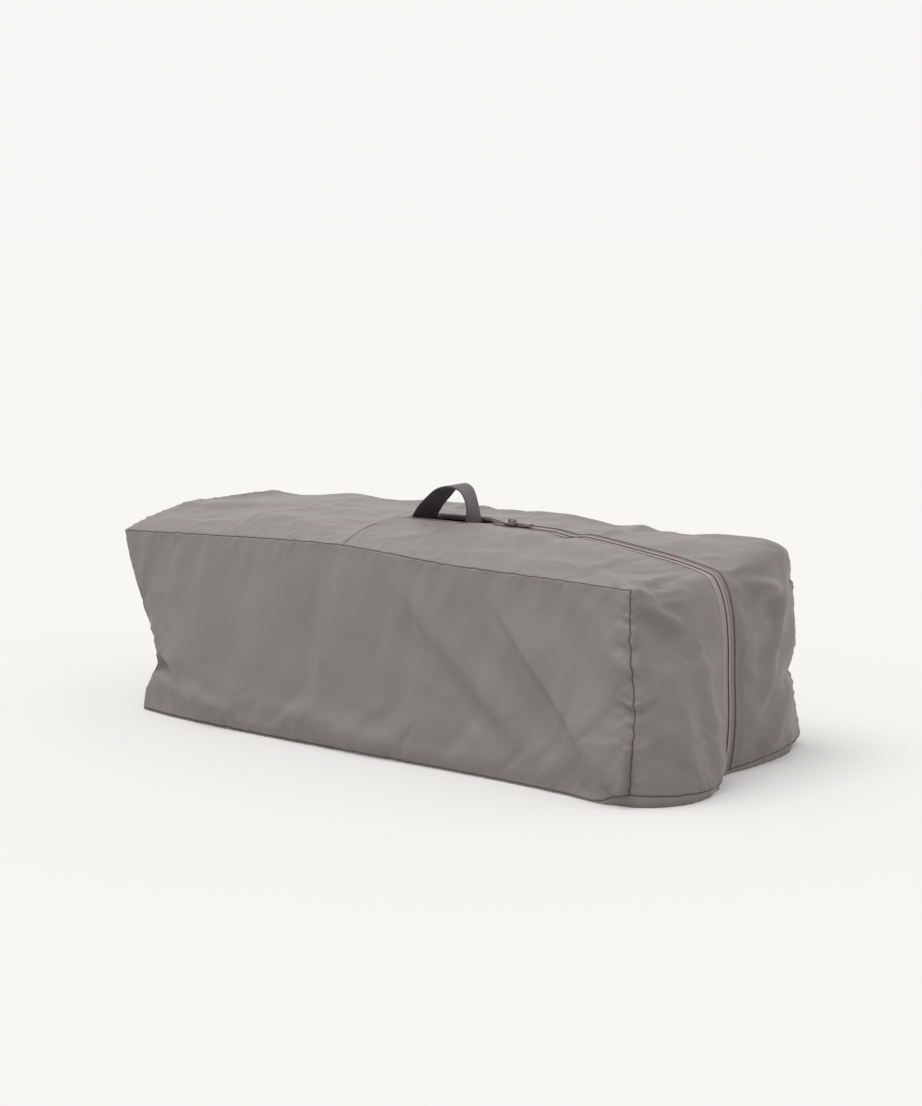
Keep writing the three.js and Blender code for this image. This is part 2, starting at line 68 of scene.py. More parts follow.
SEAM_Y = 0.145  # half the width between the two top seams
SEAM_HEIGHT = 0.218
SLOT_HALF = 0.021  # half-width of the zip's open start, where the handle comes out
TAPE = 0.016  # width of one zip tape
COIL = 0.0026  # width of one half of the zip's coil
BARE_TAPE = {-1: 0.0128, 1: 0.0064}  # width of tape between the coil and the hem, by side
HALF_GAP = 0.00008  # half the gap between the two coils of the closed zip
CLOTH = 0.0011  # thickness of the bag's cloth
TOP_FROM = 0.2  # what lies higher than this belongs to the bag's top
PACK_TOP = 0.2296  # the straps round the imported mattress
PACK_HALF = 0.1135
PACK_ENDS = (-0.355, 0.335)
PACK_CLEAR = 0.0023  # the cloth stays this far above the bundle
BESIDE_PACK, BEYOND_PACK = 0.006, 0.008  # and does so this far past its edges and its end
PACK_ROUND = 0.007  # radius of the bundle's long edges
PRESSED = 0.011  # how far the sloping bag presses the bundle down at its right-hand end
PRESS_FROM_TO = (0.225, 0.325)
SIDES = {-1: "front", 1: "rear"}

ALONG = 126  # cells along the bag
ACROSS = 24  # cells from a side seam to the zip
MIDDLE = 14  # cells across the middle, between the two halves
UP = 37  # cells from the floor to the seam
CROSS = 60  # the column of cells where the cross seam meets the side seam
BEND = ALONG - CROSS  # the gusset's row of cells at the top of the right-hand end


# ---- curves and noise

def curve(*points):
    """A smooth function through (position, value) points, level beyond its ends."""
    xs, ys = (np.array(v, float) for v in zip(*points))
    slopes = np.gradient(ys, xs)

    def value(x):
        x = np.clip(np.asarray(x, float), xs[0], xs[-1])
        i = np.clip(np.searchsorted(xs, x, side="right") - 1, 0, len(xs) - 2)
        h = xs[i + 1] - xs[i]
        t = (x - xs[i]) / h
        start = (1 + 2 * t) * (1 - t) ** 2 * ys[i] + t * (1 - t) ** 2 * h * slopes[i]
        end = t * t * (3 - 2 * t) * ys[i + 1] + t * t * (t - 1) * h * slopes[i + 1]
        return start + end

    return value


def smoothstep(low, high, x):
    t = np.clip((np.asarray(x, float) - low) / (high - low), 0, 1)
    return t * t * (3 - 2 * t)


def lerp(a, b, t):
    return a + (b - a) * t


def unit(vectors):
    return vectors / np.linalg.norm(vectors, axis=-1, keepdims=True)


def run_along(points):
    """The distance run down the rows of a path or a grid, at each of its points."""
    steps = np.linalg.norm(np.diff(points, axis=0), axis=-1)
    return np.concatenate([np.zeros_like(steps[:1]), np.cumsum(steps, axis=0)])


def densify(rows, per_step):
    """More rows between the given ones, along a smooth line."""
    count = len(rows)
    at = np.linspace(0, count - 1, (count - 1) * per_step + 1)
    base = np.arange(count)
    return np.stack([curve(*zip(base, rows[:, k]))(at) for k in range(rows.shape[1])], -1)


def ripple(place, length, row):
    """Smooth noise along a line, in bumps about `length` metres long; each row differs."""
    return noise.noise(Vector((place / length, row, 0.0)))


def soft_noise(points, scale, seed):
    """Smooth noise about zero for each point, with bumps about `scale` metres across."""
    shift = Vector((seed * 7.3, seed * 3.1, seed * 5.7))
    return np.array([noise.noise(Vector(p) / scale + shift) for p in points])


# ---- the bag's resting shape

# x of the two ends by height: at the front corner, at the back corner and at the middle
left_front_x = curve((0, -0.3600), (0.021, -0.3555), (0.048, -0.3385), (0.057, -0.3315),
                     (0.067, -0.3335), (0.085, -0.3385), (0.126, -0.3625), (0.18, -0.3890),
                     (0.216, -0.4015))
left_back_x = curve((0, -0.368), (0.1, -0.372), (0.218, -0.396))
left_middle_x = curve((0, -0.385), (0.1, -0.392), (0.16, -0.396), (0.218, -0.402))
right_front_x = curve((0, 0.3698), (0.1085, 0.3671), (0.1475, 0.3594), (0.2172, 0.3492))
right_back_x = curve((0, 0.3525), (0.012, 0.3505), (0.03, 0.3470), (0.05, 0.3450), (0.1, 0.3490),
                     (0.15, 0.3460), (0.19, 0.3520), (0.218, 0.3575))
zip_x = curve((0, 0.374), (0.028, 0.3780), (0.052, 0.3795), (0.085, 0.3790), (0.106, 0.378),
              (0.1485, 0.377), (0.18, 0.3735), (0.2008, 0.3675), (0.2165, 0.3590))
# how far the right-hand end swells between its corners and the zip, by height
front_bulge = curve((0, 0.042), (0.06, 0.034), (0.12, 0.022), (0.18, 0.010), (0.217, 0.004))
back_bulge = curve((0, 0.015), (0.06, 0.016), (0.12, 0.014), (0.18, 0.012), (0.217, 0.010))
# half-width at the floor by x, and the back right-hand corner's own by height
front_foot = curve((-0.3725, 0.157), (-0.30, 0.168), (-0.1975, 0.173), (-0.0675, 0.173),
                   (0.0725, 0.171), (0.1725, 0.170), (0.2925, 0.175), (0.345, 0.1800),
                   (0.3698, 0.1730))
back_foot = curve((-0.38, 0.160), (-0.2, 0.178), (0.1, 0.181), (0.35, 0.186))
back_corner_y = curve((0, 0.1895), (0.020, 0.1870), (0.049, 0.1835), (0.074, 0.1755),
                      (0.083, 0.1715), (0.092, 0.1735), (0.12, 0.179), (0.154, 0.1757),
                      (0.18, 0.167), (0.2216, 0.1535))
# heights along the top by x: the side seams, the zip's crest and the rounded back edge
front_seam_z = curve((-0.4015, 0.216), (-0.2205, 0.224), (-0.0475, 0.229), (0.1125, 0.221),
                     (0.2595, 0.219), (0.3492, 0.2172))
back_seam_z = curve((-0.396, 0.216), (-0.15, 0.222), (0.1, 0.219), (0.35, 0.2216))
crest_z = curve((-0.402, 0.2415), (-0.30, 0.247), (-0.066, 0.2478), (0.060, 0.2482),
                (0.092, 0.2470), (0.126, 0.2467), (0.151, 0.2460), (0.176, 0.2427),
                (0.190, 0.2440), (0.205, 0.2422), (0.234, 0.2390), (0.261, 0.2355),
                (0.287, 0.2320), (0.315, 0.2275), (0.338, 0.2226), (0.359, 0.2172))
back_shoulder_z = curve((-0.40, 0.2425), (-0.37, 0.2415), (-0.30, 0.2440), (-0.22, 0.2485),
                        (-0.1455, 0.2475), (-0.02, 0.2485),
                        (0.0500, 0.2505), (0.0947, 0.2488), (0.1177, 0.2460),
                        (0.156, 0.2417), (0.184, 0.2442), (0.2115, 0.2408),
                        (0.2387, 0.2362), (0.272, 0.2400), (0.318, 0.2406),
                        (0.354, 0.2390), (0.377, 0.232))
SHOULDER = 0.77  # share of the half-width at which the rounded back edge is highest
BACK_SEAM_Y = 0.148
END_BULGE_SHARE = 0.91  # share of each half of the right-hand end that swells
CROSS_X, TOP_END_X, END_X = -0.05, 0.356, 0.38  # ends of the zip's run on top, and its foot
CROSS_BOW = 0.036  # share of the length by which the cross seam bows to the left


def left_x(b, z):
    """The left end: straight up the middle, drawn in or out towards its two corners."""
    side = np.where(b < 0, left_front_x(z), left_back_x(z))
    return lerp(left_middle_x(z), side, np.abs(b) ** 2.2)


def right_x(b, z):
    """The right-hand end: each half swells between its corner and the zip."""
    inward = np.clip((1 - np.abs(b)) / END_BULGE_SHARE, 0, 1)
    bulge = np.sin(np.pi * inward ** 0.8) ** 0.8
    front = lerp(right_front_x(z), zip_x(z), inward) + front_bulge(z) * bulge
    back = lerp(right_back_x(z), zip_x(z), inward) + back_bulge(z) * bulge
    return np.where(b < 0, front, back)


def half_width(b, x, z):
    """Half-width of the bag: it hangs from its seams and spreads towards its foot."""
    rise = np.clip(z / (SEAM_HEIGHT + 0.002), 0, 1)
    front = SEAM_Y + (front_foot(x) - SEAM_Y) * (1 - rise ** 1.5)
    back = BACK_SEAM_Y + (back_foot(x) - BACK_SEAM_Y) * (1 - rise ** 2)
    back = lerp(back, back_corner_y(z), smoothstep(0.16, 0.34, x))
    return np.where(b < 0, front, back)


def top_z(b, x):
    """The top: crowned at the front, and fullest near its back edge."""
    inward = 1 - np.abs(b)
    front = lerp(front_seam_z(x), crest_z(x), np.sin(0.5 * np.pi * inward) ** 0.85)
    over = np.clip(np.abs(b) / SHOULDER, 0, 1)
    beyond = np.clip((np.abs(b) - SHOULDER) / (1 - SHOULDER), 0, 1)
    back = lerp(crest_z(x), back_shoulder_z(x), over * over * (3 - 2 * over))
    back = lerp(back, back_seam_z(x), beyond ** 1.6)
    return np.where(b < 0, front, back)


WANDER, WANDER_LENGTH = 0.0022, 0.125


def zip_wander(x):
    """The closed zip doesn't lie quite straight along the top."""
    fade = smoothstep(0.08, 0.12, x) * (1 - smoothstep(0.20, 0.25, x))
    return fade * WANDER * np.sin((x - 0.07) * 2 * np.pi / WANDER_LENGTH)


foot_lift = curve((-1, 0.0105), (-0.5, 0.0060), (-0.08, 0.0010), (0.08, 0.0030),
                  (0.5, 0.0065), (1, 0.0085))


def foot_z(a, b):
    """The seam round the bottom panel lies a little above the floor, most at the right."""
    return 0.002 + foot_lift(b) * smoothstep(0.945, 1.0, a)


def bag_point(a, b, c):
    """The point of the bag's surface at the shares a, b and c."""
    a, b, c = np.broadcast_arrays(*(np.asarray(v, float) for v in (a, b, c)))
    level = c * SEAM_HEIGHT
    x = lerp(left_x(b, level), right_x(b, level), a)
    y = b * half_width(b, x, level) + zip_wander(x) * c ** 4 * (1 - np.abs(b)) ** 2
    z = lerp(foot_z(a, b), top_z(b, x), c)
    return np.stack([x, y, z], -1)


def cross_a(b):
    """The cross seam: it bows towards the left between the side seam and the zip."""
    return CROSS / ALONG - CROSS_BOW * np.sin(0.5 * np.pi * np.clip((1 - np.abs(b)) / 0.8, 0, 1))


def coil_edge(x):
    """Distance from the zip's middle line to the coil's edge: wide at the handle."""
    return lerp(SLOT_HALF, HALF_GAP, smoothstep(0.040, 0.080, x))


def bare_tape(sign, x):
    """Width of tape seen between coil and hem: next to none beside the handle."""
    return lerp(0.001, BARE_TAPE[sign], smoothstep(0.05, 0.085, x))


# ---- the bag's cells

def hem_share(sign, x, level):
    """The share b at which one half of the gusset ends, beside its tape."""
    reach = coil_edge(x) if level > TOP_FROM else HALF_GAP
    return float((reach + COIL + bare_tape(sign, x)) / half_width(sign, x, level))


def columns(hem, sign):
    """Shares b from a side seam to the edge beside the zip."""
    return sign * np.linspace(1.0, hem, ACROSS + 1)


def whole_width(front_hem, rear_hem):
    """Shares b across the whole bag, for the parts with no zip."""
    middle = np.linspace(-front_hem, rear_hem, MIDDLE + 1)[1:-1]
    return np.concatenate([columns(front_hem, -1), middle, columns(rear_hem, 1)[::-1]])


SLOT_HEMS = [hem_share(sign, CROSS_X, SEAM_HEIGHT) for sign in (-1, 1)]
FOOT_HEMS = [hem_share(sign, END_X, 0.0) for sign in (-1, 1)]
a_cells = np.linspace(0, 1, ALONG + 1)
c_cells = np.linspace(0, 1, UP + 1)


def side_grid(b):
    """The front panel (b = -1) or the back panel (b = 1)."""
    return bag_point(a_cells[:, None], b, c_cells[None, :])


def left_end_grid():
    return bag_point(0.0, whole_width(*SLOT_HEMS)[:, None], c_cells[None, :])


TUCK = 0.012  # how far the cloth is tucked under at the back right-hand corner
TUCK_FROM_TO = (0.01, 0.06)


def towards_border(values):
    """The outermost cells become narrow, so that the cloth drops steeply from its seam."""
    values = values.copy()
    values[1] = lerp(values[0], values[1], 0.3)
    values[-2] = lerp(values[-1], values[-2], 0.3)
    return values


def bottom_grid():
    """The bottom panel drops from its raised seam to the floor and lies flat there."""
    def spread(a_values, ease):
        shares = [whole_width(*lerp(np.array(SLOT_HEMS), np.array(FOOT_HEMS), a))
                  for a in a_cells]
        return np.array([bag_point(a, ease(b), 0.0) for a, b in zip(a_values, shares)])

    grid = spread(a_cells, np.array)
    grid[1:-1, 1:-1] = spread(towards_border(a_cells), towards_border)[1:-1, 1:-1]
    grid[1:-1, 1:-1, 2] = 0
    distance = np.linalg.norm(grid - bag_point(1.0, 1.0, 0.0), axis=-1)
    tuck = TUCK * (1 - smoothstep(*TUCK_FROM_TO, distance[1:-1, 1:-1]))
    grid[1:-1, 1:-1, :2] -= tuck[..., None]
    return grid


def top_left_grid():
    b = whole_width(*SLOT_HEMS)[None, :]
    share = np.linspace(0, 1, CROSS + 1)[:, None]
    return bag_point(share * cross_a(b), b, 1.0)


def gusset_grid(sign):
    """From the cross seam over the top to the right-hand end, and down that end."""
    rows = []
    for share in np.linspace(0, 1, BEND + 1):
        x = lerp(CROSS_X, TOP_END_X, share)
        b = columns(hem_share(sign, x, SEAM_HEIGHT), sign)
        rows.append(bag_point(lerp(cross_a(b), 1, share), b, 1.0))
    for c in c_cells[-2::-1]:
        b = columns(hem_share(sign, END_X, c * SEAM_HEIGHT), sign)
        rows.append(bag_point(1.0, b, c))
    return np.array(rows)


def weld(grids):
    """One list of points for all the grids, in which neighbours share their edges."""
    points, number, index = [], {}, {}
    for name, grid in grids.items():
        ids = np.empty(grid.shape[:2], int)
        for place in np.ndindex(*ids.shape):
            key = tuple(np.round(grid[place] * 2e4).astype(int))
            if key not in number:
                number[key] = len(points)
                points.append(grid[place])
            ids[place] = number[key]
        index[name] = ids
    return np.array(points), index


def quads(ids):
    """The four corners of each cell of a grid of point numbers."""
    corners = np.stack([ids[:-1, :-1], ids[1:, :-1], ids[1:, 1:], ids[:-1, 1:]], -1)
    return corners.reshape(-1, 4)


def neighbours(faces):
    """Pairs of points joined by an edge, each pair both ways."""
    edges = np.concatenate([faces[:, [k, (k + 1) % 4]] for k in range(4)])
    edges = np.unique(np.sort(edges, 1), axis=0)
    return np.concatenate([edges, edges[:, ::-1]])


def relax(points, pairs, weight, rounds):
    """Moves each point towards the middle of its neighbours, by its weight."""
    count = np.bincount(pairs[:, 0], minlength=len(points))[:, None]
    for _ in range(rounds):
        mean = np.stack([np.bincount(pairs[:, 0], points[pairs[:, 1], k], len(points))
                         for k in range(points.shape[1])], -1) / np.maximum(count, 1)
        points = lerp(points, mean, weight[:, None])
    return points


def normals_of(points, faces):
    """The surface's outward direction at each point."""
    a, b, c, d = (points[faces[:, k]] for k in range(4))
    face = np.cross(c - a, d - b)
    total = np.zeros_like(points)
    for k in range(4):
        np.add.at(total, faces[:, k], face)
    return total / np.maximum(np.linalg.norm(total, axis=1, keepdims=True), 1e-12)


# ---- settling the cloth

COLLIDER_END = 0.27  # past here the bag's top slopes down into the bundle's edge
CLOTH_SETTINGS = {
    "quality": 5, "mass": 0.12, "tension_stiffness": 25, "compression_stiffness": 25,
    "shear_stiffness": 8, "bending_stiffness": 0.8, "air_damping": 3, "tension_damping": 8,
    "compression_damping": 8, "pin_stiffness": 1.0,
}
SHRINK = -0.020  # the cloth is cut this share larger than the bag, so it is slack
GRAVITY_SHARE = 0.12
CONTACT = 0.002
FRAMES = 14
PIN_LEVELS = 40
LEAST_PIN = 0.08


def add_collider():
    """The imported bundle, as the cloth feels it."""
    bpy.ops.mesh.primitive_cube_add(size=1)
    bundle = bpy.context.object
    bundle.location = ((PACK_ENDS[0] + COLLIDER_END) / 2, 0, PACK_TOP / 2)
    bundle.scale = (COLLIDER_END - PACK_ENDS[0], 2 * PACK_HALF, PACK_TOP)
    bundle.modifiers.new("collision", "COLLISION")
    bundle.collision.thickness_outer = CONTACT
    return bundle


def pin_points(sheet, held):
    """A vertex group that says how firmly each point of the sheet is held."""
    group = sheet.vertex_groups.new(name="pin")
    levels = np.round(np.maximum(held, LEAST_PIN) * PIN_LEVELS).astype(int)
    for level in np.unique(levels):
        group.add(np.nonzero(levels == level)[0].tolist(), level / PIN_LEVELS, "REPLACE")
    return group.name


def settle(points, faces, held):
    """Cloth simulation: slack cloth, held at its seams, buckles into its own folds."""
    bundle = add_collider()
    sheet = new_piece("settling", points, faces.tolist())
    cloth = sheet.modifiers.new("cloth", "CLOTH")
    for key, value in CLOTH_SETTINGS.items():
        setattr(cloth.settings, key, value)
    cloth.settings.vertex_group_mass = pin_points(sheet, held)
    cloth.settings.shrink_min = SHRINK
    cloth.settings.effector_weights.gravity = GRAVITY_SHARE
    cloth.collision_settings.distance_min = CONTACT
    cloth.collision_settings.use_self_collision = False
    cloth.point_cache.frame_start = 1
    cloth.point_cache.frame_end = FRAMES
    for number in range(1, FRAMES + 1):
        bpy.context.scene.frame_set(number)
    shaped = sheet.evaluated_get(bpy.context.evaluated_depsgraph_get())
    settled = np.empty(points.size)
    shaped.data.vertices.foreach_get("co", settled)
    bpy.data.objects.remove(sheet)
    bpy.data.objects.remove(bundle)
    bpy.context.scene.frame_set(1)
    return settled.reshape(-1, 3)


# ---- folds and seams

def fold(points, normals, mask, axes, start, end, height, width, far_width):
    """Raises a ridge, or sinks a valley, from start to end on one face of the bag."""
    start, end = np.array(start), np.array(end)
    length = np.linalg.norm(end - start)
    along = (end - start) / length
    flat = points[:, axes] - start
    t = flat @ along / length
    d = flat @ np.array([-along[1], along[0]])
    spread = np.where(d > 0, width, far_width)
    ends = smoothstep(-0.12, 0.22, t) * (1 - smoothstep(0.75, 1.12, t))
    rise = np.exp(-(d / spread) ** 2) * ends
    return points + normals * (height * rise * mask)[:, None]


def seam_lines(index):
    """The bag's seams: lists of point numbers, each with the strength of its puckers."""
    front, back = index["front_panel"], index["back_panel"]
    left = index["left_end_panel"]
    near, far = index["front_gusset"], index["rear_gusset"]
    return {
        "front_top": (front[:, -1], 0.5),
        "back_top": (back[:, -1], 0.5),
        "front_right": (front[-1, ::-1], 1.3),
        "back_right": (back[-1, ::-1], 1.1),
        "front_left": (front[0, ::-1], 0.7),
        "back_left": (back[0, ::-1], 0.9),
        "left_top": (left[:, -1], 0.6),
        "cross_front": (near[0, :], 0.35),
        "cross_back": (far[0, :], 0.35),
        "foot_front": (front[:, 0], 0.3),
        "foot_back": (back[:, 0], 0.8),
        "foot_left": (left[:, 0], 0.4),
        "foot_right_near": (near[-1, :], 0.6),
        "foot_right_far": (far[-1, :], 0.6),
    }


class Puckers:
    """The thread draws each seam up a little, which puckers the cloth beside it."""

    HEIGHT = 0.0060
    WANDER = 0.0022  # how far a seam strays sideways
    FARTHEST = 0.05  # no pucker reaches farther from its seam

    def __init__(self, points, normals, lines):
        self.marks = KDTree(2 * sum(len(ids) - 1 for ids, _ in lines.values()))
        self.places, self.strengths, self.sideways = [], [], []
        for number, (ids, strength) in enumerate(lines.values()):
            line = points[ids]
            # each seam takes its own stretch of the noise
            run = run_along(line) + 3.1 * number
            beside = np.cross(np.gradient(line, axis=0), normals[ids])
            beside /= np.linalg.norm(beside, axis=1, keepdims=True) + 1e-9
            for t in (0.0, 0.5):
                for mark in lerp(line[:-1], line[1:], t):
                    self.marks.insert(mark, len(self.places))
                    self.places.append(0)
                    self.strengths.append(strength)
                self.places[1 - len(line):] = lerp(run[:-1], run[1:], t)
                self.sideways.extend(lerp(beside[:-1], beside[1:], t))
        self.marks.balance()

    def offset(self, p, normal):
        """How far the puckers move the point p of a surface with the given normal."""
        _, nearest, distance = self.marks.find(p)
        if distance > self.FARTHEST:
            return np.zeros(3)
        place = self.places[nearest]
        # the puckers lean down and away from the seam
        lean = place + 0.5 * distance
        wave = ripple(lean, 0.0056, 0.0) + 0.8 * ripple(lean, 0.017, 4.0)
        grip = max(0.75 + 0.8 * ripple(place, 0.05, 9.0), 0.1) * self.strengths[nearest]
        reach = max(0.011 + 0.010 * ripple(place, 0.03, 13.0), 0.006)
        fade = math.exp(-distance / reach) * min(0.3 + distance / 0.004, 1)
        wander = ripple(place, 0.008, 20.0) * math.exp(-distance / 0.008)
        rise = self.HEIGHT * grip * wave * fade
        return normal * rise + self.sideways[nearest] * (self.WANDER * grip * wander)


# panels whose grids run the other way round, so that their cells are turned over
FACING_BACK = {"back_panel", "bottom_panel", "left_end_panel", "rear_gusset"}
FRONT, END, TOP = [0, 2], [1, 2], [0, 1]  # the two axes along which each face lies

# For each face its ridges and valleys: from one place of the face to another, the height
# (below zero for a valley), and the width to the left and to the right of its line.
FOLDS = {
    "front_panel": (FRONT, [
        ((0.020, 0.212), (0.240, 0.035), 0.0062, 0.022, 0.013),
        ((0.050, 0.160), (0.255, 0.005), -0.0042, 0.014, 0.020),
        ((0.045, 0.170), (0.140, 0.075), 0.0020, 0.007, 0.009),
        ((0.188, 0.176), (0.420, -0.042), 0.0105, 0.040, 0.0045),
        ((0.170, 0.145), (0.350, -0.020), -0.0045, 0.016, 0.018),
        ((0.255, 0.195), (0.380, 0.070), -0.0030, 0.016, 0.016),
        ((0.285, 0.205), (0.385, 0.110), 0.0022, 0.010, 0.012),
        ((-0.352, 0.072), (-0.265, 0.030), -0.0085, 0.008, 0.012),
        ((-0.345, 0.045), (-0.190, 0.022), 0.0060, 0.009, 0.010),
        ((-0.360, 0.105), (-0.285, 0.060), 0.0035, 0.012, 0.014),
        ((-0.255, 0.047), (-0.225, 0.022), 0.0025, 0.005, 0.007),
        ((-0.22, 0.200), (-0.12, 0.060), 0.0024, 0.035, 0.035),
        ((-0.15, 0.040), (0.10, 0.012), 0.0036, 0.012, 0.018),
        ((0.120, 0.090), (0.175, 0.030), 0.0030, 0.006, 0.010),
    ]),
    "end": (END, [
        ((-0.168, 0.222), (-0.080, 0.172), 0.0062, 0.006, 0.010),
        ((-0.150, 0.205), (-0.095, 0.150), -0.0040, 0.012, 0.010),
        ((-0.135, 0.160), (-0.120, 0.020), 0.0030, 0.012, 0.016),
        ((-0.100, 0.150), (-0.085, 0.030), -0.0020, 0.014, 0.014),
        ((-0.075, 0.170), (-0.060, 0.010), 0.0028, 0.016, 0.012),
        ((0.008, 0.215), (0.110, 0.188), 0.0075, 0.006, 0.010),
        ((0.020, 0.185), (0.110, 0.165), -0.0070, 0.016, 0.012),
        ((0.130, 0.190), (0.048, 0.055), 0.0070, 0.008, 0.014),
        ((0.145, 0.085), (0.068, 0.015), 0.0065, 0.007, 0.012),
        ((0.040, 0.150), (0.035, 0.030), 0.0030, 0.014, 0.014),
        ((0.175, 0.090), (0.110, 0.083), -0.0060, 0.007, 0.009),
    ]),
    "top": (TOP, [
        ((0.060, -0.035), (0.300, -0.060), 0.0022, 0.018, 0.018),
        ((0.020, -0.110), (0.200, -0.085), -0.0018, 0.020, 0.020),
        ((0.350, -0.135), (0.250, -0.090), 0.0028, 0.012, 0.012),
        ((0.175, -0.020), (0.200, 0.040), -0.0030, 0.009, 0.014),
        ((0.210, 0.135), (0.190, 0.060), -0.0035, 0.016, 0.016),
        ((0.080, 0.040), (0.220, 0.070), 0.0025, 0.016, 0.016),
    ]),
    "top_left_panel": (TOP, [
        ((-0.405, -0.050), (-0.290, -0.040), 0.0042, 0.040, 0.006),
        ((-0.330, -0.130), (-0.110, -0.060), 0.0022, 0.022, 0.022),
        ((-0.260, 0.110), (-0.090, 0.020), 0.0022, 0.020, 0.020),
    ]),
    "back_panel": (FRONT, [
        ((-0.250, 0.210), (-0.060, 0.030), 0.0050, 0.020, 0.014),
        ((0.060, 0.200), (0.240, 0.020), -0.0045, 0.018, 0.018),
        ((-0.370, 0.080), (-0.250, 0.020), 0.0050, 0.012, 0.014),
        ((0.350, 0.110), (0.200, 0.030), 0.0050, 0.012, 0.016),
    ]),
    "left_end_panel": (END, [
        ((-0.130, 0.200), (-0.030, 0.040), 0.0045, 0.014, 0.020),
        ((0.120, 0.190), (0.040, 0.060), -0.0040, 0.016, 0.016),
    ]),
}


def fold_masks(index, count):
    """The share of a fold that each point takes, for each face of the bag."""
    masks = {name: np.isin(np.arange(count), ids[1:-1, 1:-1]) * 1.0
             for name, ids in index.items()}
    end, top = masks["end"], masks["top"] = np.zeros((2, count))
    for side in SIDES.values():
        ids = index[f"{side}_gusset"]
        row, col = np.indices(ids.shape)
        inside = smoothstep(0, 2.5, np.minimum(col, ids.shape[1] - 1 - col))
        end[ids] = inside * smoothstep(BEND, BEND + 5, row) * (row < len(ids) - 1)
        top[ids] = inside * (1 - smoothstep(BEND - 6, BEND - 1, row)) * (row > 0)
    return masks


def add_folds(points, normals, index):
    """The folds of a bag that is slack round its load and pulled at its corners."""
    masks = fold_masks(index, len(points))
    for face, (axes, folds) in FOLDS.items():
        for shape in folds:
            points = fold(points, normals, masks[face], axes, *shape)
    return points


UNEVENNESS = (0.085, 0.0035), (0.033, 0.0011)  # size and height of its broad and fine bumps


def drift(points, normals, seams_at):
    """Slow, shallow unevenness of slack cloth, fading out at the seams."""
    (broad_size, broad_height), (fine_size, fine_height) = UNEVENNESS
    broad = soft_noise(points, broad_size, 1) * broad_height
    fine = soft_noise(points * np.array([1.0, 1.0, 0.7]), fine_size, 2) * fine_height
    return points + normals * ((broad + fine) * seams_at)[:, None]


def hold(points_held, pairs, count):
    """How firmly each point is held: wholly at the seams, less and less away from them."""
    firm = points_held.copy()
    links = np.maximum(np.bincount(pairs[:, 0], minlength=count), 1)
    for _ in range(5):
        firm = np.maximum(points_held, np.bincount(pairs[:, 0], firm[pairs[:, 1]], count) / links)
    return firm


def relax_hems(points, pairs, weight, rounds, index):
    """Relaxes the cloth, but keeps the hems beside the zip at their distance from it."""
    eased = relax(points, pairs, weight, rounds)
    for side in SIDES.values():
        ids = index[f"{side}_gusset"][:, -1]
        eased[ids, 1] = points[ids, 1]
    return eased


def corner_softness(index, count):
    """Where the gusset rounds the corner from the top to the right-hand end."""
    soft = np.zeros(count)
    for side in SIDES.values():
        ids = index[f"{side}_gusset"]
        across = smoothstep(0, 6, np.arange(ids.shape[1]))
        across[-7:] *= 0.45  # the corner is crisper beside the zip
        for row in range(BEND - 4, BEND + 5):
            soft[ids[row]] = 0.8 * (1 - smoothstep(0, 4.5, abs(row - BEND))) * across
    return soft


BACK_CORNER = (0.35, 0.153, 0.2216)  # where the back, the top and the right-hand end meet
CORNER_REACH = (0.010, 0.030)


def back_corner_softness(points):
    """The back right-hand corner of the top is pulled round by the slack cloth."""
    distance = np.linalg.norm(points - np.array(BACK_CORNER), axis=1)
    return 0.5 * (1 - smoothstep(*CORNER_REACH, distance))


def slackness(points, index):
    """How much of the settled cloth's buckling each part of the bag keeps."""
    keep = np.full(len(points), 0.6)
    keep[index["front_panel"]] = 0.5
    keep[index["top_left_panel"]] = 0.4
    for side in SIDES.values():
        keep[index[f"{side}_gusset"][:BEND]] = 0.4
    return keep


def lift_off_pack(points):
    """Keeps the top of the bag clear of the bundle under it."""
    x, y, z = points.T
    across = (np.abs(y) < PACK_HALF + BESIDE_PACK) & (z > TOP_FROM - 0.01)
    over = across & (x > PACK_ENDS[0]) & (x < PACK_ENDS[1] + BEYOND_PACK)
    points[:, 2] = np.where(over, np.maximum(z, pack_top(x, y) + PACK_CLEAR), z)
    return points


def pack_top(x, y):
    """Height of the bundle's top: soft edges, and pressed down at its right-hand end."""
    edge = np.clip((np.abs(y) - PACK_HALF + PACK_ROUND) / PACK_ROUND, 0, 1)
    round_off = PACK_ROUND * (1 - np.sqrt(1 - edge * edge))
    return PACK_TOP - round_off - PRESSED * smoothstep(*PRESS_FROM_TO, x)


def bag_grids():
    """The grid of points of each panel, before the cloth settles."""
    return {
        "front_panel": side_grid(-1.0),
        "back_panel": side_grid(1.0),
        "left_end_panel": left_end_grid(),
        "bottom_panel": bottom_grid(),
        "top_left_panel": top_left_grid(),
        "front_gusset": gusset_grid(-1),
        "rear_gusset": gusset_grid(1),
    }


def held_points(index, lines, count):
    """The seams, the hems beside the zip and the bottom panel stay where they are."""
    held = np.zeros(count)
    for ids, _ in lines.values():
        held[ids] = 1
    for side in SIDES.values():
        held[index[f"{side}_gusset"][:, -1]] = 1
    held[index["bottom_panel"]] = 1
    return held


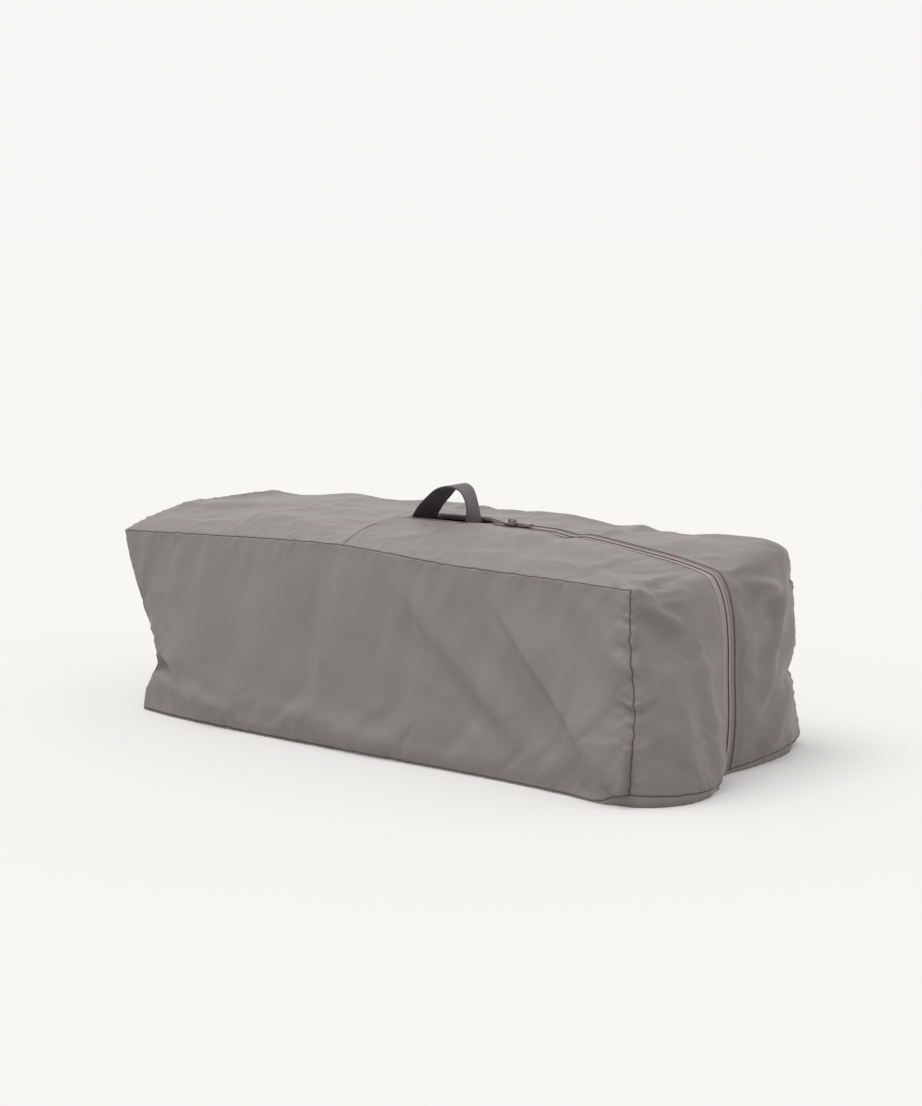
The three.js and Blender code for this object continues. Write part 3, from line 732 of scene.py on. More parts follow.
def make_bag():
    """The bag's points, each panel's grid of point numbers, the seams and the faces."""
    points, index = weld(bag_grids())
    count = len(points)
    faces = np.concatenate([quads(ids)[:, ::-1] if name in FACING_BACK else quads(ids)
                            for name, ids in index.items()])
    pairs = neighbours(faces)
    lines = seam_lines(index)
    points = relax_hems(points, pairs, corner_softness(index, count), 5, index)
    points = relax(points, pairs, back_corner_softness(points), 6)
    held = held_points(index, lines, count)
    keep = relax(slackness(points, index)[:, None], pairs, np.ones(count), 6)
    points = points + (settle(points, faces, held) - points) * keep
    points = lift_off_pack(points)
    normals = normals_of(points, faces)
    points = add_folds(points, normals, index)
    points = drift(points, normals, 1 - hold(held, pairs, count))
    points = lift_off_pack(points)
    points[:, 2] = np.maximum(points[:, 2], 0)
    return points, index, lines, faces


# ---- meshes

def new_piece(name, points, faces, uv=None):
    """A smooth-shaded mesh; uv holds two lengths for each of its points."""
    mesh = bpy.data.meshes.new(name)
    mesh.from_pydata(np.asarray(points).tolist(), [], faces)
    if uv is not None:
        loops = np.empty(len(mesh.loops), int)
        mesh.loops.foreach_get("vertex_index", loops)
        mesh.uv_layers.new(name="UVMap").data.foreach_set("uv", uv[loops].ravel())
    mesh.polygons.foreach_set("use_smooth", np.ones(len(mesh.polygons), bool))
    piece = bpy.data.objects.new(name, mesh)
    bpy.context.scene.collection.objects.link(piece)
    return piece


def subdivided(piece):
    surface = piece.modifiers.new("surface", "SUBSURF")
    surface.levels = surface.render_levels = 1
    return piece


def grid_mesh(name, grid, thickness, flip=False, smoother=False):
    """A sheet of cloth from a grid of points, with its lengths in metres as its UV map."""
    ids = np.arange(grid[..., 0].size).reshape(grid.shape[:2])
    faces = quads(ids)[:, ::-1] if flip else quads(ids)
    uv = np.stack([run_along(grid), run_along(np.swapaxes(grid, 0, 1)).T], -1)
    piece = new_piece(name, grid.reshape(-1, 3), faces.tolist(), uv.reshape(-1, 2))
    if smoother:
        subdivided(piece)
    body = piece.modifiers.new("cloth", "SOLIDIFY")
    body.thickness = thickness
    body.offset = -1
    body.use_even_offset = False
    return piece


def square_to(path):
    """For each point of a path, two directions square to it."""
    ahead = unit(np.gradient(path, axis=0))
    side = np.cross(ahead, [0, 0, 1.0])
    side[np.linalg.norm(side, axis=1) < 1e-3] = [0, 1, 0]
    side = unit(side)
    return side, np.cross(side, ahead)


def cords(name, paths, radius, sides=5):
    """Round cords along the paths, with closed ends, as one mesh."""
    angles = np.linspace(0, 2 * np.pi, sides, endpoint=False)[:, None]
    points, faces = [], []
    for path in paths:
        side, up = (v[:, None] for v in square_to(path))
        rings = path[:, None] + radius * (np.cos(angles) * side + np.sin(angles) * up)
        ids = len(points) + np.arange(len(path) * sides).reshape(-1, sides)
        after = np.roll(ids, -1, axis=1)
        walls = np.stack([ids[:-1], after[:-1], after[1:], ids[1:]], -1)
        faces += walls.reshape(-1, 4).tolist() + [ids[0, ::-1].tolist(), ids[-1].tolist()]
        points += rings.reshape(-1, 3).tolist()
    return new_piece(name, points, faces)


def resample(path, count, values=None):
    """The path, or values given along it, at evenly spaced places of the path."""
    run = run_along(path)
    at = np.linspace(0, run[-1], count)
    values = path if values is None else values
    return np.stack([np.interp(at, run, values[:, k]) for k in range(3)], -1)


def smooth_path(points, count):
    """A smooth line through a few given points, each a place (x, z) and a turn."""
    points = np.array(points)
    run = run_along(points[:, :2])
    at = np.linspace(0, run[-1], count)
    return np.stack([curve(*zip(run, points[:, k]))(at) for k in range(points.shape[1])], -1)


# ---- materials

class Shader:
    """A node material with a principled shader, and short names for common nodes."""

    def __init__(self, name, color, roughness, **inputs):
        self.color = color
        self.material = bpy.data.materials.new(name)
        self.material.use_nodes = True
        self.nodes = self.material.node_tree.nodes
        self.links = self.material.node_tree.links
        self.surface = self.nodes["Principled BSDF"]
        self.surface.inputs["Base Color"].default_value = (*color, 1)
        self.surface.inputs["Roughness"].default_value = roughness
        for key, value in inputs.items():
            self.surface.inputs[key.replace("_", " ")].default_value = value

    def node(self, kind, **settings):
        made = self.nodes.new(kind)
        for key, value in settings.items():
            setattr(made, key, value)
        return made

    def coordinates(self, output, turn=0.0):
        source = self.node("ShaderNodeTexCoord")
        mapping = self.node("ShaderNodeMapping")
        mapping.inputs["Rotation"].default_value = (0, 0, turn)
        self.links.new(source.outputs[output], mapping.inputs["Vector"])
        return mapping.outputs["Vector"]

    def noise(self, scale, detail):
        made = self.node("ShaderNodeTexNoise")
        made.inputs["Scale"].default_value = scale
        made.inputs["Detail"].default_value = detail
        self.links.new(self.coordinates("Object"), made.inputs["Vector"])
        return made.outputs["Fac"]

    def bands(self, period, direction="X", output="UV", turn=0.0):
        """Ridges `period` metres apart."""
        made = self.node("ShaderNodeTexWave", wave_type="BANDS", bands_direction=direction)
        made.inputs["Scale"].default_value = 2 * math.pi / 20 / period
        self.links.new(self.coordinates(output, turn=turn), made.inputs["Vector"])
        return made.outputs["Fac"]

    def math(self, operation, first, second):
        made = self.node("ShaderNodeMath", operation=operation)
        for socket, value in zip(made.inputs, (first, second)):
            if isinstance(value, (int, float)):
                socket.default_value = value
            else:
                self.links.new(value, socket)
        return made.outputs[0]

    def vary_color(self, share, low, high):
        """Shades the colour from `low` times to `high` times itself."""
        ramp = self.node("ShaderNodeMix", data_type="RGBA")
        for socket, factor in (("A", low), ("B", high)):
            ramp.inputs[socket].default_value = (*(v * factor for v in self.color), 1)
        self.links.new(share, ramp.inputs["Factor"])
        self.links.new(ramp.outputs["Result"], self.surface.inputs["Base Color"])

    def vary_roughness(self, share, low, high):
        spread = self.node("ShaderNodeMapRange")
        spread.inputs["To Min"].default_value = low
        spread.inputs["To Max"].default_value = high
        self.links.new(share, spread.inputs["Value"])
        self.links.new(spread.outputs["Result"], self.surface.inputs["Roughness"])

    def bump(self, height, distance, strength):
        made = self.node("ShaderNodeBump")
        made.inputs["Distance"].default_value = distance
        made.inputs["Strength"].default_value = strength
        self.links.new(height, made.inputs["Height"])
        self.links.new(made.outputs["Normal"], self.surface.inputs["Normal"])


def srgb(*values):
    """Linear colour from sRGB numbers of 0 to 255."""
    shares = np.array(values) / 255
    linear = np.where(shares > 0.04045, ((shares + 0.055) / 1.055) ** 2.4, shares / 12.92)
    return tuple(float(v) for v in linear)


def bag_cloth():
    made = Shader("bag_cloth", srgb(113, 108, 106), 0.5, Specular_IOR_Level=0.42,
                  Sheen_Weight=0.12, Sheen_Roughness=0.45)
    weave = made.math("ADD", made.bands(0.0008), made.bands(0.0008, "Y"))
    made.bump(made.math("ADD", weave, made.noise(900, 1.0)), 0.00005, 0.35)
    made.vary_color(made.noise(9, 4.0), 0.965, 1.03)
    made.vary_roughness(made.noise(35, 3.0), 0.44, 0.56)
    return made.material


def tape_cloth():
    made = Shader("zip_tape", srgb(142, 128, 131), 0.62, Sheen_Weight=0.2)
    ribs = made.math("ADD", made.bands(0.0011, "Y"), made.bands(0.0007, turn=0.7))
    made.bump(ribs, 0.00012, 0.6)
    made.vary_color(made.noise(60, 3.0), 0.94, 1.05)
    return made.material


def thread():
    made = Shader("seam_thread", srgb(74, 64, 62), 0.7)
    made.bump(made.noise(1500, 2.0), 0.0001, 0.5)
    made.vary_color(made.noise(300, 2.0), 0.8, 1.15)
    return made.material


def nylon_coil():
    made = Shader("nylon_coil", srgb(150, 135, 138), 0.38, Specular_IOR_Level=0.5)
    made.vary_color(made.noise(200, 2.0), 0.85, 1.1)
    made.bump(made.noise(1800, 2.0), 0.00005, 0.3)
    return made.material


def webbing(name, base):
    made = Shader(name, base, 0.62, Sheen_Weight=0.25, Sheen_Roughness=0.4)
    twill = made.math("ADD", *(made.bands(0.0019, turn=turn) for turn in (0.62, -0.62)))
    cords = made.math("MULTIPLY", made.bands(0.0011, "Y"), 0.8)
    made.bump(made.math("ADD", twill, cords), 0.0003, 0.7)
    made.vary_color(made.math("MULTIPLY", twill, 0.5), 0.72, 1.25)
    return made.material


def quilted_cloth():
    made = Shader("mattress_cloth", srgb(172, 166, 160), 0.8, Sheen_Weight=0.3)
    weave = made.math("ADD", made.bands(0.0012), made.bands(0.0012, "Y"))
    made.bump(weave, 0.0001, 0.6)
    made.vary_color(made.noise(20, 4.0), 0.94, 1.04)
    return made.material


def net_cloth():
    made = Shader("side_wall_cloth", srgb(84, 79, 77), 0.8, Sheen_Weight=0.3)
    mesh_weave = made.math("MULTIPLY", made.bands(0.0025), made.bands(0.0025, "Y"))
    made.bump(mesh_weave, 0.0003, 0.7)
    made.vary_color(mesh_weave, 0.6, 1.1)
    return made.material


def powder_coat():
    made = Shader("steel_tube", srgb(72, 72, 75), 0.42, Metallic=0.35)
    made.bump(made.noise(700, 3.0), 0.00006, 0.5)
    made.vary_color(made.noise(30, 5.0), 0.9, 1.06)
    made.vary_roughness(made.noise(80, 3.0), 0.34, 0.5)
    return made.material


def moulded(name, base, roughness):
    made = Shader(name, base, roughness)
    made.bump(made.noise(1200, 2.0), 0.00006, 0.5)
    made.vary_color(made.noise(40, 4.0), 0.88, 1.12)
    made.vary_roughness(made.noise(120, 3.0), roughness - 0.07, roughness + 0.07)
    return made.material


def zip_metal():
    made = Shader("zip_metal", srgb(150, 142, 140), 0.32, Metallic=0.9)
    made.bump(made.bands(0.0006, output="Object"), 0.00003, 0.5)
    made.vary_roughness(made.noise(300, 3.0), 0.25, 0.45)
    made.vary_color(made.noise(150, 3.0), 0.85, 1.05)
    return made.material


CLOTH_MATERIAL = bag_cloth()
TAPE_MATERIAL = tape_cloth()
THREAD = thread()
COIL_MATERIAL = nylon_coil()
DARK_WEBBING = webbing("dark_webbing", srgb(70, 62, 63))
# painted shade: a darker copy of the webbing for the handle's inner face, standing in for the shade under
# its arch
WEBBING_PAINTED_SHADE = webbing("webbing_painted_shade", srgb(44, 39, 39))
RED_WEBBING = webbing("red_webbing", srgb(150, 56, 50))
MATTRESS = quilted_cloth()
NET = net_cloth()
STEEL = powder_coat()
PLASTIC = moulded("dark_plastic", srgb(48, 47, 48), 0.5)
RED = moulded("red_button", srgb(158, 54, 48), 0.4)
WHEEL = moulded("wheel_plastic", srgb(38, 38, 38), 0.55)
METAL = zip_metal()


def dress(piece, material, body="root"):
    """Gives a piece its material, and the body that carries it."""
    piece.data.materials.append(material)
    if body:
        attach(piece, body)
    return piece


# ---- the opening top

OPEN_TO = 0.254  # the right-hand end of the slit that the zip opens
TURNS_WHOLLY_Y = 0.095  # from here to the zip the cloth turns as far as its flap
TURN_GROWS = (0.004, 0.12)  # at these distances from the cross seam
TURN_FADES = 0.14  # over this length, towards the slit's right-hand end


def cross_seam_x(y):
    """Where the cross seam is, at a distance y from the bag's middle."""
    share = np.clip(np.abs(y) / SEAM_Y, 0, 1)
    return bag_point(cross_a(share), -share, 1.0)[..., 0]


def slit_share(x, y, z):
    """How much of the flap's turn the cloth makes: none at the slit's two ends."""
    grown = smoothstep(*TURN_GROWS, x - cross_seam_x(y))
    faded = smoothstep(OPEN_TO - TURN_FADES, OPEN_TO, x)
    return grown * (1 - faded) * smoothstep(TOP_FROM, TOP_FROM + 0.01, z)


def open_with_zip(piece, sign):
    """The piece turns with its flap between the side seam and the zip, along the slit."""
    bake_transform(piece, "root", f"{SIDES[sign]}_flap", start=(0, sign * SEAM_Y, SEAM_HEIGHT),
             end=(0, sign * TURNS_WHOLLY_Y, SEAM_HEIGHT))
    places = np.empty(3 * len(piece.data.vertices))
    piece.data.vertices.foreach_get("co", places)
    turn = np.empty(len(piece.data.vertices))
    attribute = piece.data.attributes["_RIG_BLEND"]
    attribute.data.foreach_get("value", turn)
    turn *= slit_share(*places.reshape(-1, 3).T)
    attribute.data.foreach_set("value", turn.astype(np.float32))


# ---- bag pieces

bag_points, bag_index, bag_seams, bag_faces = make_bag()
bag_normals = normals_of(bag_points, bag_faces)
puckers = Puckers(bag_points, bag_normals, bag_seams)

# for each panel the CAD pieces that it stands for, and its flat size
PANELS = {
    "front_panel": (["front_panel"], (0.775, 0.235)),
    "back_panel": (["back_panel"], (0.765, 0.235)),
    "left_end_panel": (["left_end_panel"], (0.33, 0.245)),
    "bottom_panel": (["bottom_panel"], (0.77, 0.365)),
    "top_left_panel": (["top_left_panel"], (0.345, 0.32)),
    "front_gusset": (["front_zip_flap", "front_end_gusset"], (0.645, 0.16)),
    "rear_gusset": (["rear_zip_flap", "rear_end_gusset"], (0.645, 0.16)),
}
SEAM_DEPTH = 0.0011  # the cloth dips this far into each seam
SEAM_ROUND = 0.0016  # and bends down from this far beside it
ALLOWANCE = 0.0045  # cloth turned in behind each seam
ALLOWANCE_LEAN = 0.0004
THREAD_RAISED = 0.0002  # the thread's middle lies this far above the seam's bottom
SEAM_THREAD = 0.0005  # radius of the line of thread in a seam
BULGE_FROM, BULGE_TO = 0.1865, 0.1915  # the sides' bulge is eased from here, and ends here


def turn_in(grid, normals):
    """Adds a bend and a turned-in allowance along a panel's first and last rows."""
    grid, normals = list(grid), list(normals)
    for border, beside in ((0, 1), (-1, -2)):
        away, normal = unit(grid[border] - grid[beside]), normals[border]
        bend = grid[border] - away * SEAM_ROUND
        seam = grid[border] - normal * SEAM_DEPTH
        under = seam - normal * ALLOWANCE - away * ALLOWANCE_LEAN
        first = border == 0
        rows = [under, seam, bend] if first else [bend, seam, under]
        where = slice(0, 1) if first else slice(len(grid) - 1, len(grid))
        grid[where] = rows
        normals[where] = [normal] * 3
    return np.array(grid), np.array(normals)


def finer(grid):
    """Halves the cells of a grid in both directions, along smooth lines."""
    for _ in range(2):
        flat = grid.reshape(grid.shape[0], -1)
        grid = np.swapaxes(densify(flat, 2).reshape(-1, *grid.shape[1:]), 0, 1)
    return grid


def panel_grid(name):
    """The panel's finished surface, with its puckers, and its edges turned in at the seams."""
    ids = bag_index[name]
    grid, normals = finer(bag_points[ids]), unit(finer(bag_normals[ids]))
    grid = grid + [[puckers.offset(p, n) for p, n in zip(*row)] for row in zip(grid, normals)]
    grid, normals = turn_in(grid, normals)
    grid, normals = (np.swapaxes(v, 0, 1) for v in (grid, normals))
    grid, _ = turn_in(grid, normals)
    return within_reach(np.swapaxes(grid, 0, 1))


def within_reach(points, lowest=0.0):
    """The points, kept off the floor and eased back where the sides bulge the most."""
    points = points.copy()
    wide, room = np.abs(points[..., 1]), BULGE_TO - BULGE_FROM
    eased = BULGE_FROM + room * np.tanh((wide - BULGE_FROM) / room)
    points[..., 1] = np.sign(points[..., 1]) * np.where(wide > BULGE_FROM, eased, wide)
    points[..., 2] = np.maximum(points[..., 2], lowest)
    return points


def add_panels():
    for name, (nodes, flat) in PANELS.items():
        piece = grid_mesh(f"bag_{name}", panel_grid(name), CLOTH, name in FACING_BACK)
        gusset = name.endswith("gusset")
        dress(piece, CLOTH_MATERIAL, None if gusset else "root")
        if gusset:
            open_with_zip(piece, -1 if name.startswith("front") else 1)
        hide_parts(*nodes)


def add_seams():
    """A dark line of thread lies in the groove of each seam."""
    for name, (ids, _) in bag_seams.items():
        line, normal = densify(bag_points[ids], 2), densify(bag_normals[ids], 2)
        line = line + [puckers.offset(p, n) for p, n in zip(line, normal)]
        line = within_reach(line - normal * (SEAM_DEPTH - THREAD_RAISED), SEAM_THREAD)
        piece = cords(f"seam_{name}", [resample(line, 6 * len(ids))], SEAM_THREAD, 6)
        dress(piece, THREAD)


# ---- the zip

ZIP_LENGTH = 0.66
TAPE_THICK, COIL_THICK = 0.0007, 0.0006
# across a tape, from its outer edge (0) to the coil (1): how deep it lies under the cloth
TAPE_DEPTHS = [(0.0, 0.0022), (0.25, 0.0020), (0.5, 0.0017), (0.7, 0.0014), (0.80, 0.0013),
               (0.86, 0.0018), (1.0, 0.0018)]
TOOTH = 0.0016  # length of a tooth of the coil
COIL_DEPTH, COIL_HEIGHT, TOOTH_HEIGHT = 0.0016, 0.0009, 0.0004
# rows of stitches: the distance outward from their line, the rise, and the thread's radius
COIL_STITCHES = (COIL + 0.0005, -0.0006, 0.00055)
# the hem's stitches are real thread, made thick enough to also draw the shadow at the hem's edge: partly a
# painted shadow line
HEM_STITCHES_AND_SHADOW_LINE = (0.0012, 0.0001, 0.00045)


def zip_strips(sign):
    """A hem beside the zip, the coil's middle line, and the bag's normal along them."""
    ids = bag_index[f"{SIDES[sign]}_gusset"][:, -1]
    normal = bag_normals[ids] * [1, 0, 1]
    for _ in range(6):
        normal[1:-1] = (normal[:-2] + normal[1:-1] + normal[2:]) / 3
    edge, normal = densify(bag_points[ids], 4), unit(densify(unit(normal), 4))
    on_top = edge[:, 2] > TOP_FROM
    gap = np.where(on_top, coil_edge(edge[:, 0]), HALF_GAP)
    middle = edge.copy()
    middle[:, 1] = sign * gap + np.where(on_top, zip_wander(edge[:, 0]), 0)
    return edge, middle, normal


def add_zip(sign):
    """Half of the zip: the tape, its half of the coil, and its rows of stitches; the row by the hem also
    paints the hem's edge shadow as a dark line.
    """
    edge, middle, normal = zip_strips(sign)
    add_tape(edge, middle, normal, sign)
    add_coil(middle, normal, sign)
    add_stitches("coil_stitches", middle, normal, sign, *COIL_STITCHES)
    add_stitches("hem_stitches_and_shadow_line", edge, normal, sign, *HEM_STITCHES_AND_SHADOW_LINE)


def add_tape(edge, middle, normal, sign):
    side = SIDES[sign]
    outer = np.column_stack([edge[:, 0], middle[:, 1] + sign * TAPE, edge[:, 2]])
    grid = np.stack([lerp(outer, middle, t) - normal * depth for t, depth in TAPE_DEPTHS], 1)
    tape = grid_mesh(f"{side}_zip_tape", grid, TAPE_THICK, sign > 0)
    dress(tape, TAPE_MATERIAL, None)
    open_with_zip(tape, sign)
    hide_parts(f"{side}_top_zip_tape", f"{side}_end_zip_tape")


def add_coil(middle, normal, sign):
    """Half of the coil: a ridge of fine teeth along the tape's edge."""
    rows = 4 * int(ZIP_LENGTH / TOOTH)
    line, up = resample(middle, rows), unit(resample(middle, rows, normal))
    tooth = 0.5 + 0.5 * np.cos(np.arange(rows) * np.pi / 2)
    across = np.linspace(0, 1, 6)
    crown = np.sin(np.pi * (0.25 + 0.75 * across)) ** 0.6
    height = crown * (COIL_HEIGHT + TOOTH_HEIGHT * tooth[:, None]) - COIL_DEPTH
    grid = line[:, None] + np.array([0, sign, 0]) * (COIL * across)[None, :, None]
    grid = grid + up[:, None] * height[..., None]
    piece = grid_mesh(f"{SIDES[sign]}_zip_coil", grid, COIL_THICK, sign > 0)
    dress(piece, COIL_MATERIAL, None)
    open_with_zip(piece, sign)


def add_stitches(name, line, normal, sign, outward, rise, radius):
    """A row of stitches beside a line, with a small gap after each."""
    line = resample(line + np.array([0, sign, 0]) * outward + normal * rise, 1800)
    stitch, gap = 7, 1
    paths = [line[i:i + stitch] for i in range(0, len(line) - stitch, stitch + gap)]
    piece = cords(f"{SIDES[sign]}_{name}", paths, radius)
    dress(piece, THREAD, None)
    open_with_zip(piece, sign)


# ---- the handle

def ribbon(name, centre, half, thickness, cells=8):
    """A flat band along a line, with the half-width vector given at each of its points."""
    across = np.linspace(-1, 1, cells + 1)
    grid = centre[:, None] + half[:, None] * across[None, :, None]
    piece = grid_mesh(name, grid, thickness, smoother=True)
    piece.modifiers["cloth"].offset = 0
    # the band's inner face takes the next material slot; on the handle that slot holds the painted-shade
    # copy of the webbing
    piece.modifiers["cloth"].material_offset = 1
    edge = piece.modifiers.new("edge", "BEVEL")
    edge.width = thickness * 0.3
    edge.segments = 2
    edge.limit_method = "ANGLE"
    return piece


HANDLE_HALF, HANDLE_THICK = 0.019, 0.0019
BASE_HALF, BASE_THICK = 0.0185, 0.0015
SWAY_FROM_TO = (0.233, 0.262)  # heights between which the handle takes up its sway
BOX_STITCH = 0.013  # half the side of the sewn squares
BOX_STITCH_INSET = 0.018  # from the base's end to a square's middle
BOX_THREAD = 0.0003
# x and z of the handle's middle line, and the webbing's turn about the vertical in degrees
HANDLE_COURSE = [
    (-0.047, 0.230, 12), (-0.0462, 0.242, 12), (-0.0375, 0.2575, 12), (-0.0235, 0.2715, 10),
    (-0.0085, 0.2835, 2), (0.006, 0.2870, -8), (0.0185, 0.2825, -16), (0.0255, 0.270, -19),
    (0.0285, 0.254, -15), (0.0285, 0.242, -8), (0.0285, 0.230, -4),
]


def add_handle():
    x, z, turn = smooth_path(HANDLE_COURSE, 60).T
    zero, turn = np.zeros_like(x), np.radians(turn)
    centre = np.column_stack([x, zero, z])
    half = HANDLE_HALF * np.column_stack([np.sin(turn), np.cos(turn), zero])
    piece = ribbon("webbing_handle", centre, half, HANDLE_THICK)
    dress(piece, DARK_WEBBING, None)
    # the inner face takes the darker webbing: painted shade in place of the shade under the arch
    piece.data.materials.append(WEBBING_PAINTED_SHADE)
    low, high = SWAY_FROM_TO
    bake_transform(piece, "root", "handle", start=(0, 0, low), end=(0, 0, high))
    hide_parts("carry_handle")


def add_handle_base():
    """The webbing sewn flat on the mattress, from which the handle rises."""
    low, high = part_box("handle_base")
    z = (low.z + high.z) / 2
    line = np.linspace([low.x, 0, z], [high.x, 0, z], 40)
    base = ribbon("webbing_base", line, np.tile([0, BASE_HALF, 0], (40, 1)), BASE_THICK)
    dress(base, DARK_WEBBING)
    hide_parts("handle_base")
    paths = []
    for x in (low.x + BOX_STITCH_INSET, high.x - BOX_STITCH_INSET):
        paths += box_stitches(x, high.z + BOX_THREAD / 3, BOX_STITCH)
    dress(cords("handle_base_stitches", paths, BOX_THREAD), THREAD)


def box_stitches(x, z, size):
    """The stitches of a square with a cross."""
    corners = [(x - size, -size), (x + size, -size), (x + size, size), (x - size, size)]
    pairs = list(zip(corners, corners[1:] + corners[:1]))
    pairs += [(corners[0], corners[2]), (corners[1], corners[3])]
    lines = [np.linspace([*start, z], [*end, z], 25) for start, end in pairs]
    return [line[i:i + 3] for line in lines for i in range(0, 23, 4)]


# ---- the bundle

PAD_CELLS = (110, 30)
PAD_ROUND = 0.011  # radius of a pad's rim
PAD_THINNING = 0.12  # share by which a pad thins towards its edges
CHANNELS = 5  # seams across each pad
CHANNEL_DEPTH, CHANNEL_WIDTH = 0.16, 0.006  # the share of thickness lost, and its breadth
LEAST_PAD = 0.002  # the thinnest that the pressed pad becomes


def pad_faces(low, high):
    """The upper and the lower face of a pad lying level, which meet at its round rim."""
    u, v = np.meshgrid(*(np.linspace(-1, 1, cells + 1) for cells in PAD_CELLS), indexing="ij")
    half, middle = np.array(high - low) / 2, np.array(high + low) / 2
    edge = np.minimum((1 - np.abs(u)) * half[0], (1 - np.abs(v)) * half[1])
    rim = np.sqrt(1 - (1 - np.clip(edge / PAD_ROUND, 0, 1)) ** 2)
    x, y = middle[0] + u * half[0], middle[1] + v * half[1]
    seams = np.linspace(low.x, high.x, CHANNELS + 2)[1:-1]
    dips = CHANNEL_DEPTH * sum(np.exp(-((x - seam) / CHANNEL_WIDTH) ** 2) for seam in seams)
    crown = 1 - PAD_THINNING * (np.abs(u) ** 6 + np.abs(v) ** 6) / 2
    thick = half[2] * rim * (1 - dips) * crown
    return [np.stack([x, y, middle[2] + sign * thick], -1) for sign in (1, -1)]


def pad_mesh(name, upper, lower):
    """The pad's two faces as one closed skin, joined along the rim where they meet."""
    ids = np.arange(upper[..., 0].size).reshape(upper.shape[:2])
    lower_ids = ids + ids.size
    for rim in (np.s_[0], np.s_[-1], np.s_[:, 0], np.s_[:, -1]):
        lower_ids[rim] = ids[rim]
    used, faces = np.unique(np.concatenate([quads(ids), quads(lower_ids)[:, ::-1]]),
                            return_inverse=True)
    points = np.concatenate([upper.reshape(-1, 3), lower.reshape(-1, 3)])[used]
    return subdivided(new_piece(name, points, faces.reshape(-1, 4).tolist(), points[:, :2]))


def add_mattress():
    """Four quilted panels stand round the frame; each is drawn level and then turned."""
    low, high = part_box("mattress_panel_top")
    middle = np.array([0, 0, (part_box("mattress_panel_bottom")[0].z + high.z) / 2])
    for quarter, side in enumerate(("top", "front", "bottom", "rear")):
        upper, lower = pad_faces(low, high)
        if side == "top":
            press = PRESSED * smoothstep(*PRESS_FROM_TO, upper[..., 0])
            upper[..., 2] = np.maximum(upper[..., 2] - press, lower[..., 2] + LEAST_PAD)
        turn = np.array(Matrix.Rotation(quarter * math.pi / 2, 3, "X"))
        upper, lower = ((face - middle) @ turn.T + middle for face in (upper, lower))
        piece = pad_mesh(f"mattress_pad_{side}", upper, lower)
        dress(piece, MATTRESS)
        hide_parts(f"mattress_panel_{side}")


def square_loop(half, middle, radius, count):
    """A rounded square about the bundle, as seen along X: its (y, z) points."""
    corners = []
    for k, (y, z) in enumerate(((1, -1), (1, 1), (-1, 1), (-1, -1))):
        angle = (k - 1 + np.linspace(0, 1, 9)) * math.pi / 2
        corners.append(np.column_stack([y * (half - radius) + radius * np.cos(angle),
                                        middle + z * (half - radius) + radius * np.sin(angle)]))
    path = np.concatenate([*corners, corners[0][:1]])
    return resample(np.column_stack([np.zeros(len(path)), path]), count)[:, 1:]


STRAP_THICK, STRAP_ROUND = 0.0012, 0.014
WALL_THICK, WALL_ROUND, WALL_INSET = 0.0008, 0.012, 0.002
PLEATS = 90
DEEP_PLEAT, SHALLOW_PLEAT = 0.0012, 0.0006


def add_straps():
    for node in ("wrap_strap_left", "wrap_strap_right"):
        low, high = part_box(node)
        half = (high.y - low.y - STRAP_THICK) / 2
        loop = square_loop(half, (low.z + high.z) / 2, STRAP_ROUND, 160)
        grid = np.array([[(x, y, z) for x in np.linspace(low.x, high.x, 9)] for y, z in loop])
        piece = grid_mesh(f"{node}_webbing", grid, STRAP_THICK)
        piece.modifiers["cloth"].offset = 0
        dress(piece, DARK_WEBBING)
        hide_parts(node)


def add_side_walls():
    """Cloth and net side walls, gathered round the folded frame in deep pleats."""
    low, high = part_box("folded_side_walls")
    middle = (low.z + high.z) / 2
    loop = square_loop((high.y - low.y) / 2 - WALL_INSET, middle, WALL_ROUND, 240)
    pleat = np.arange(PLEATS + 1)
    rise = DEEP_PLEAT * np.sin(pleat * 1.9) + SHALLOW_PLEAT * np.sin(pleat * 0.7 + 1)
    depth = rise - 2 * WALL_THICK
    grid = np.empty((len(pleat), len(loop), 3))
    grid[..., 0] = lerp(low.x, high.x, pleat / PLEATS)[:, None]
    grid[..., 1:] = loop + unit(loop - [0, middle]) * depth[:, None, None]
    piece = grid_mesh("gathered_side_walls", grid, WALL_THICK)
    dress(piece, NET)
    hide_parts("folded_side_walls")


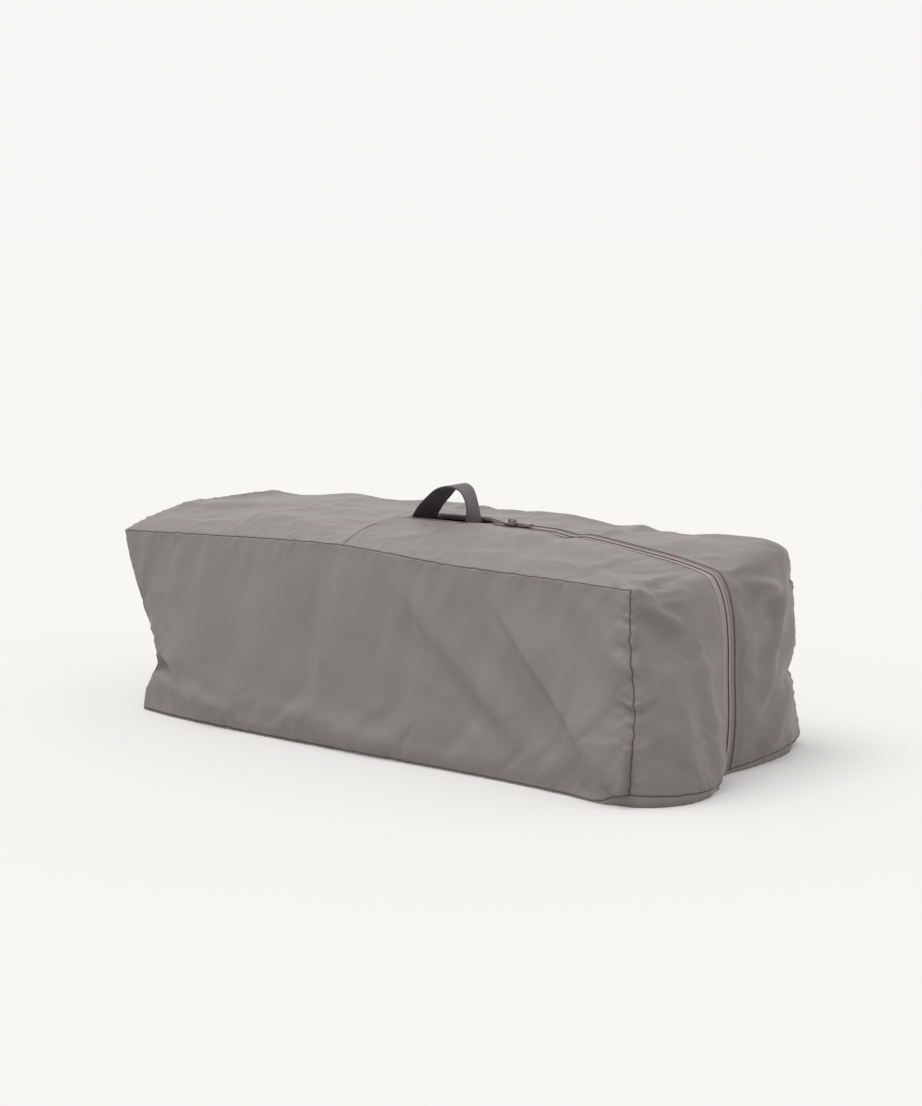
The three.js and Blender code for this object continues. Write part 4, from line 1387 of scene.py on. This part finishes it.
def dress_cad():
    """CAD pieces that stay take a better material, by the record's material slots."""
    looks = {"steel_tube": STEEL, "dark_plastic": PLASTIC, "red_button": RED,
             "wheel_plastic": WHEEL, "zip_metal": METAL, "red_webbing": RED_WEBBING}
    for part in frame["record"]["subparts"]:
        look = looks.get(part["material_slot"])
        if look:
            node = frame["nodes"][part["node"]]
            node.data.materials.clear()
            node.data.materials.append(look)


# ---- stage

def add_floor():
    """A plain pale floor, just under the bag."""
    bpy.ops.mesh.primitive_plane_add(size=400, location=(0, 0, -0.0002))
    floor = bpy.context.object
    floor.name = "floor"
    made = Shader("floor", (0.52, 0.516, 0.510), 0.9, Specular_IOR_Level=0.0,
                  Emission_Strength=0.172)
    made.surface.inputs["Emission Color"].default_value = (1.0, 0.99, 0.975, 1)
    made.vary_color(made.noise(2.0, 2.0), 0.996, 1.004)
    floor.data.materials.append(made.material)


def add_light():
    """A bright room all round, and one soft lamp from the left, the front and above."""
    world = bpy.data.worlds.new("studio")
    bpy.context.scene.world = world
    world.use_nodes = True
    background = world.node_tree.nodes["Background"]
    background.inputs["Color"].default_value = (0.93, 0.922, 0.905, 1)
    background.inputs["Strength"].default_value = 1.0
    sun = bpy.data.lights.new("window", "SUN")
    sun.energy = 1.85
    sun.angle = math.radians(44)
    lamp = bpy.data.objects.new("window", sun)
    bpy.context.scene.collection.objects.link(lamp)
    towards = Vector((0.24, 0.33, -1.0))
    lamp.rotation_mode = "QUATERNION"
    lamp.rotation_quaternion = towards.to_track_quat("-Z", "Y")


def add_camera():
    camera = bpy.data.cameras.new("camera")
    camera.lens = 72.07
    camera.sensor_width = 36
    view = bpy.data.objects.new("camera", camera)
    view.location = (1.6083, -1.9747, 0.5728)
    view.rotation_euler = (math.radians(90 - 8.165), 0, math.radians(38.98))
    bpy.context.scene.collection.objects.link(view)
    bpy.context.scene.camera = view


bpy.context.scene.view_settings.view_transform = "Standard"

add_camera()
add_floor()
add_light()
add_panels()
add_seams()
add_zip(-1)
add_zip(1)
add_handle()
add_handle_base()
add_mattress()
add_straps()
add_side_walls()
dress_cad()
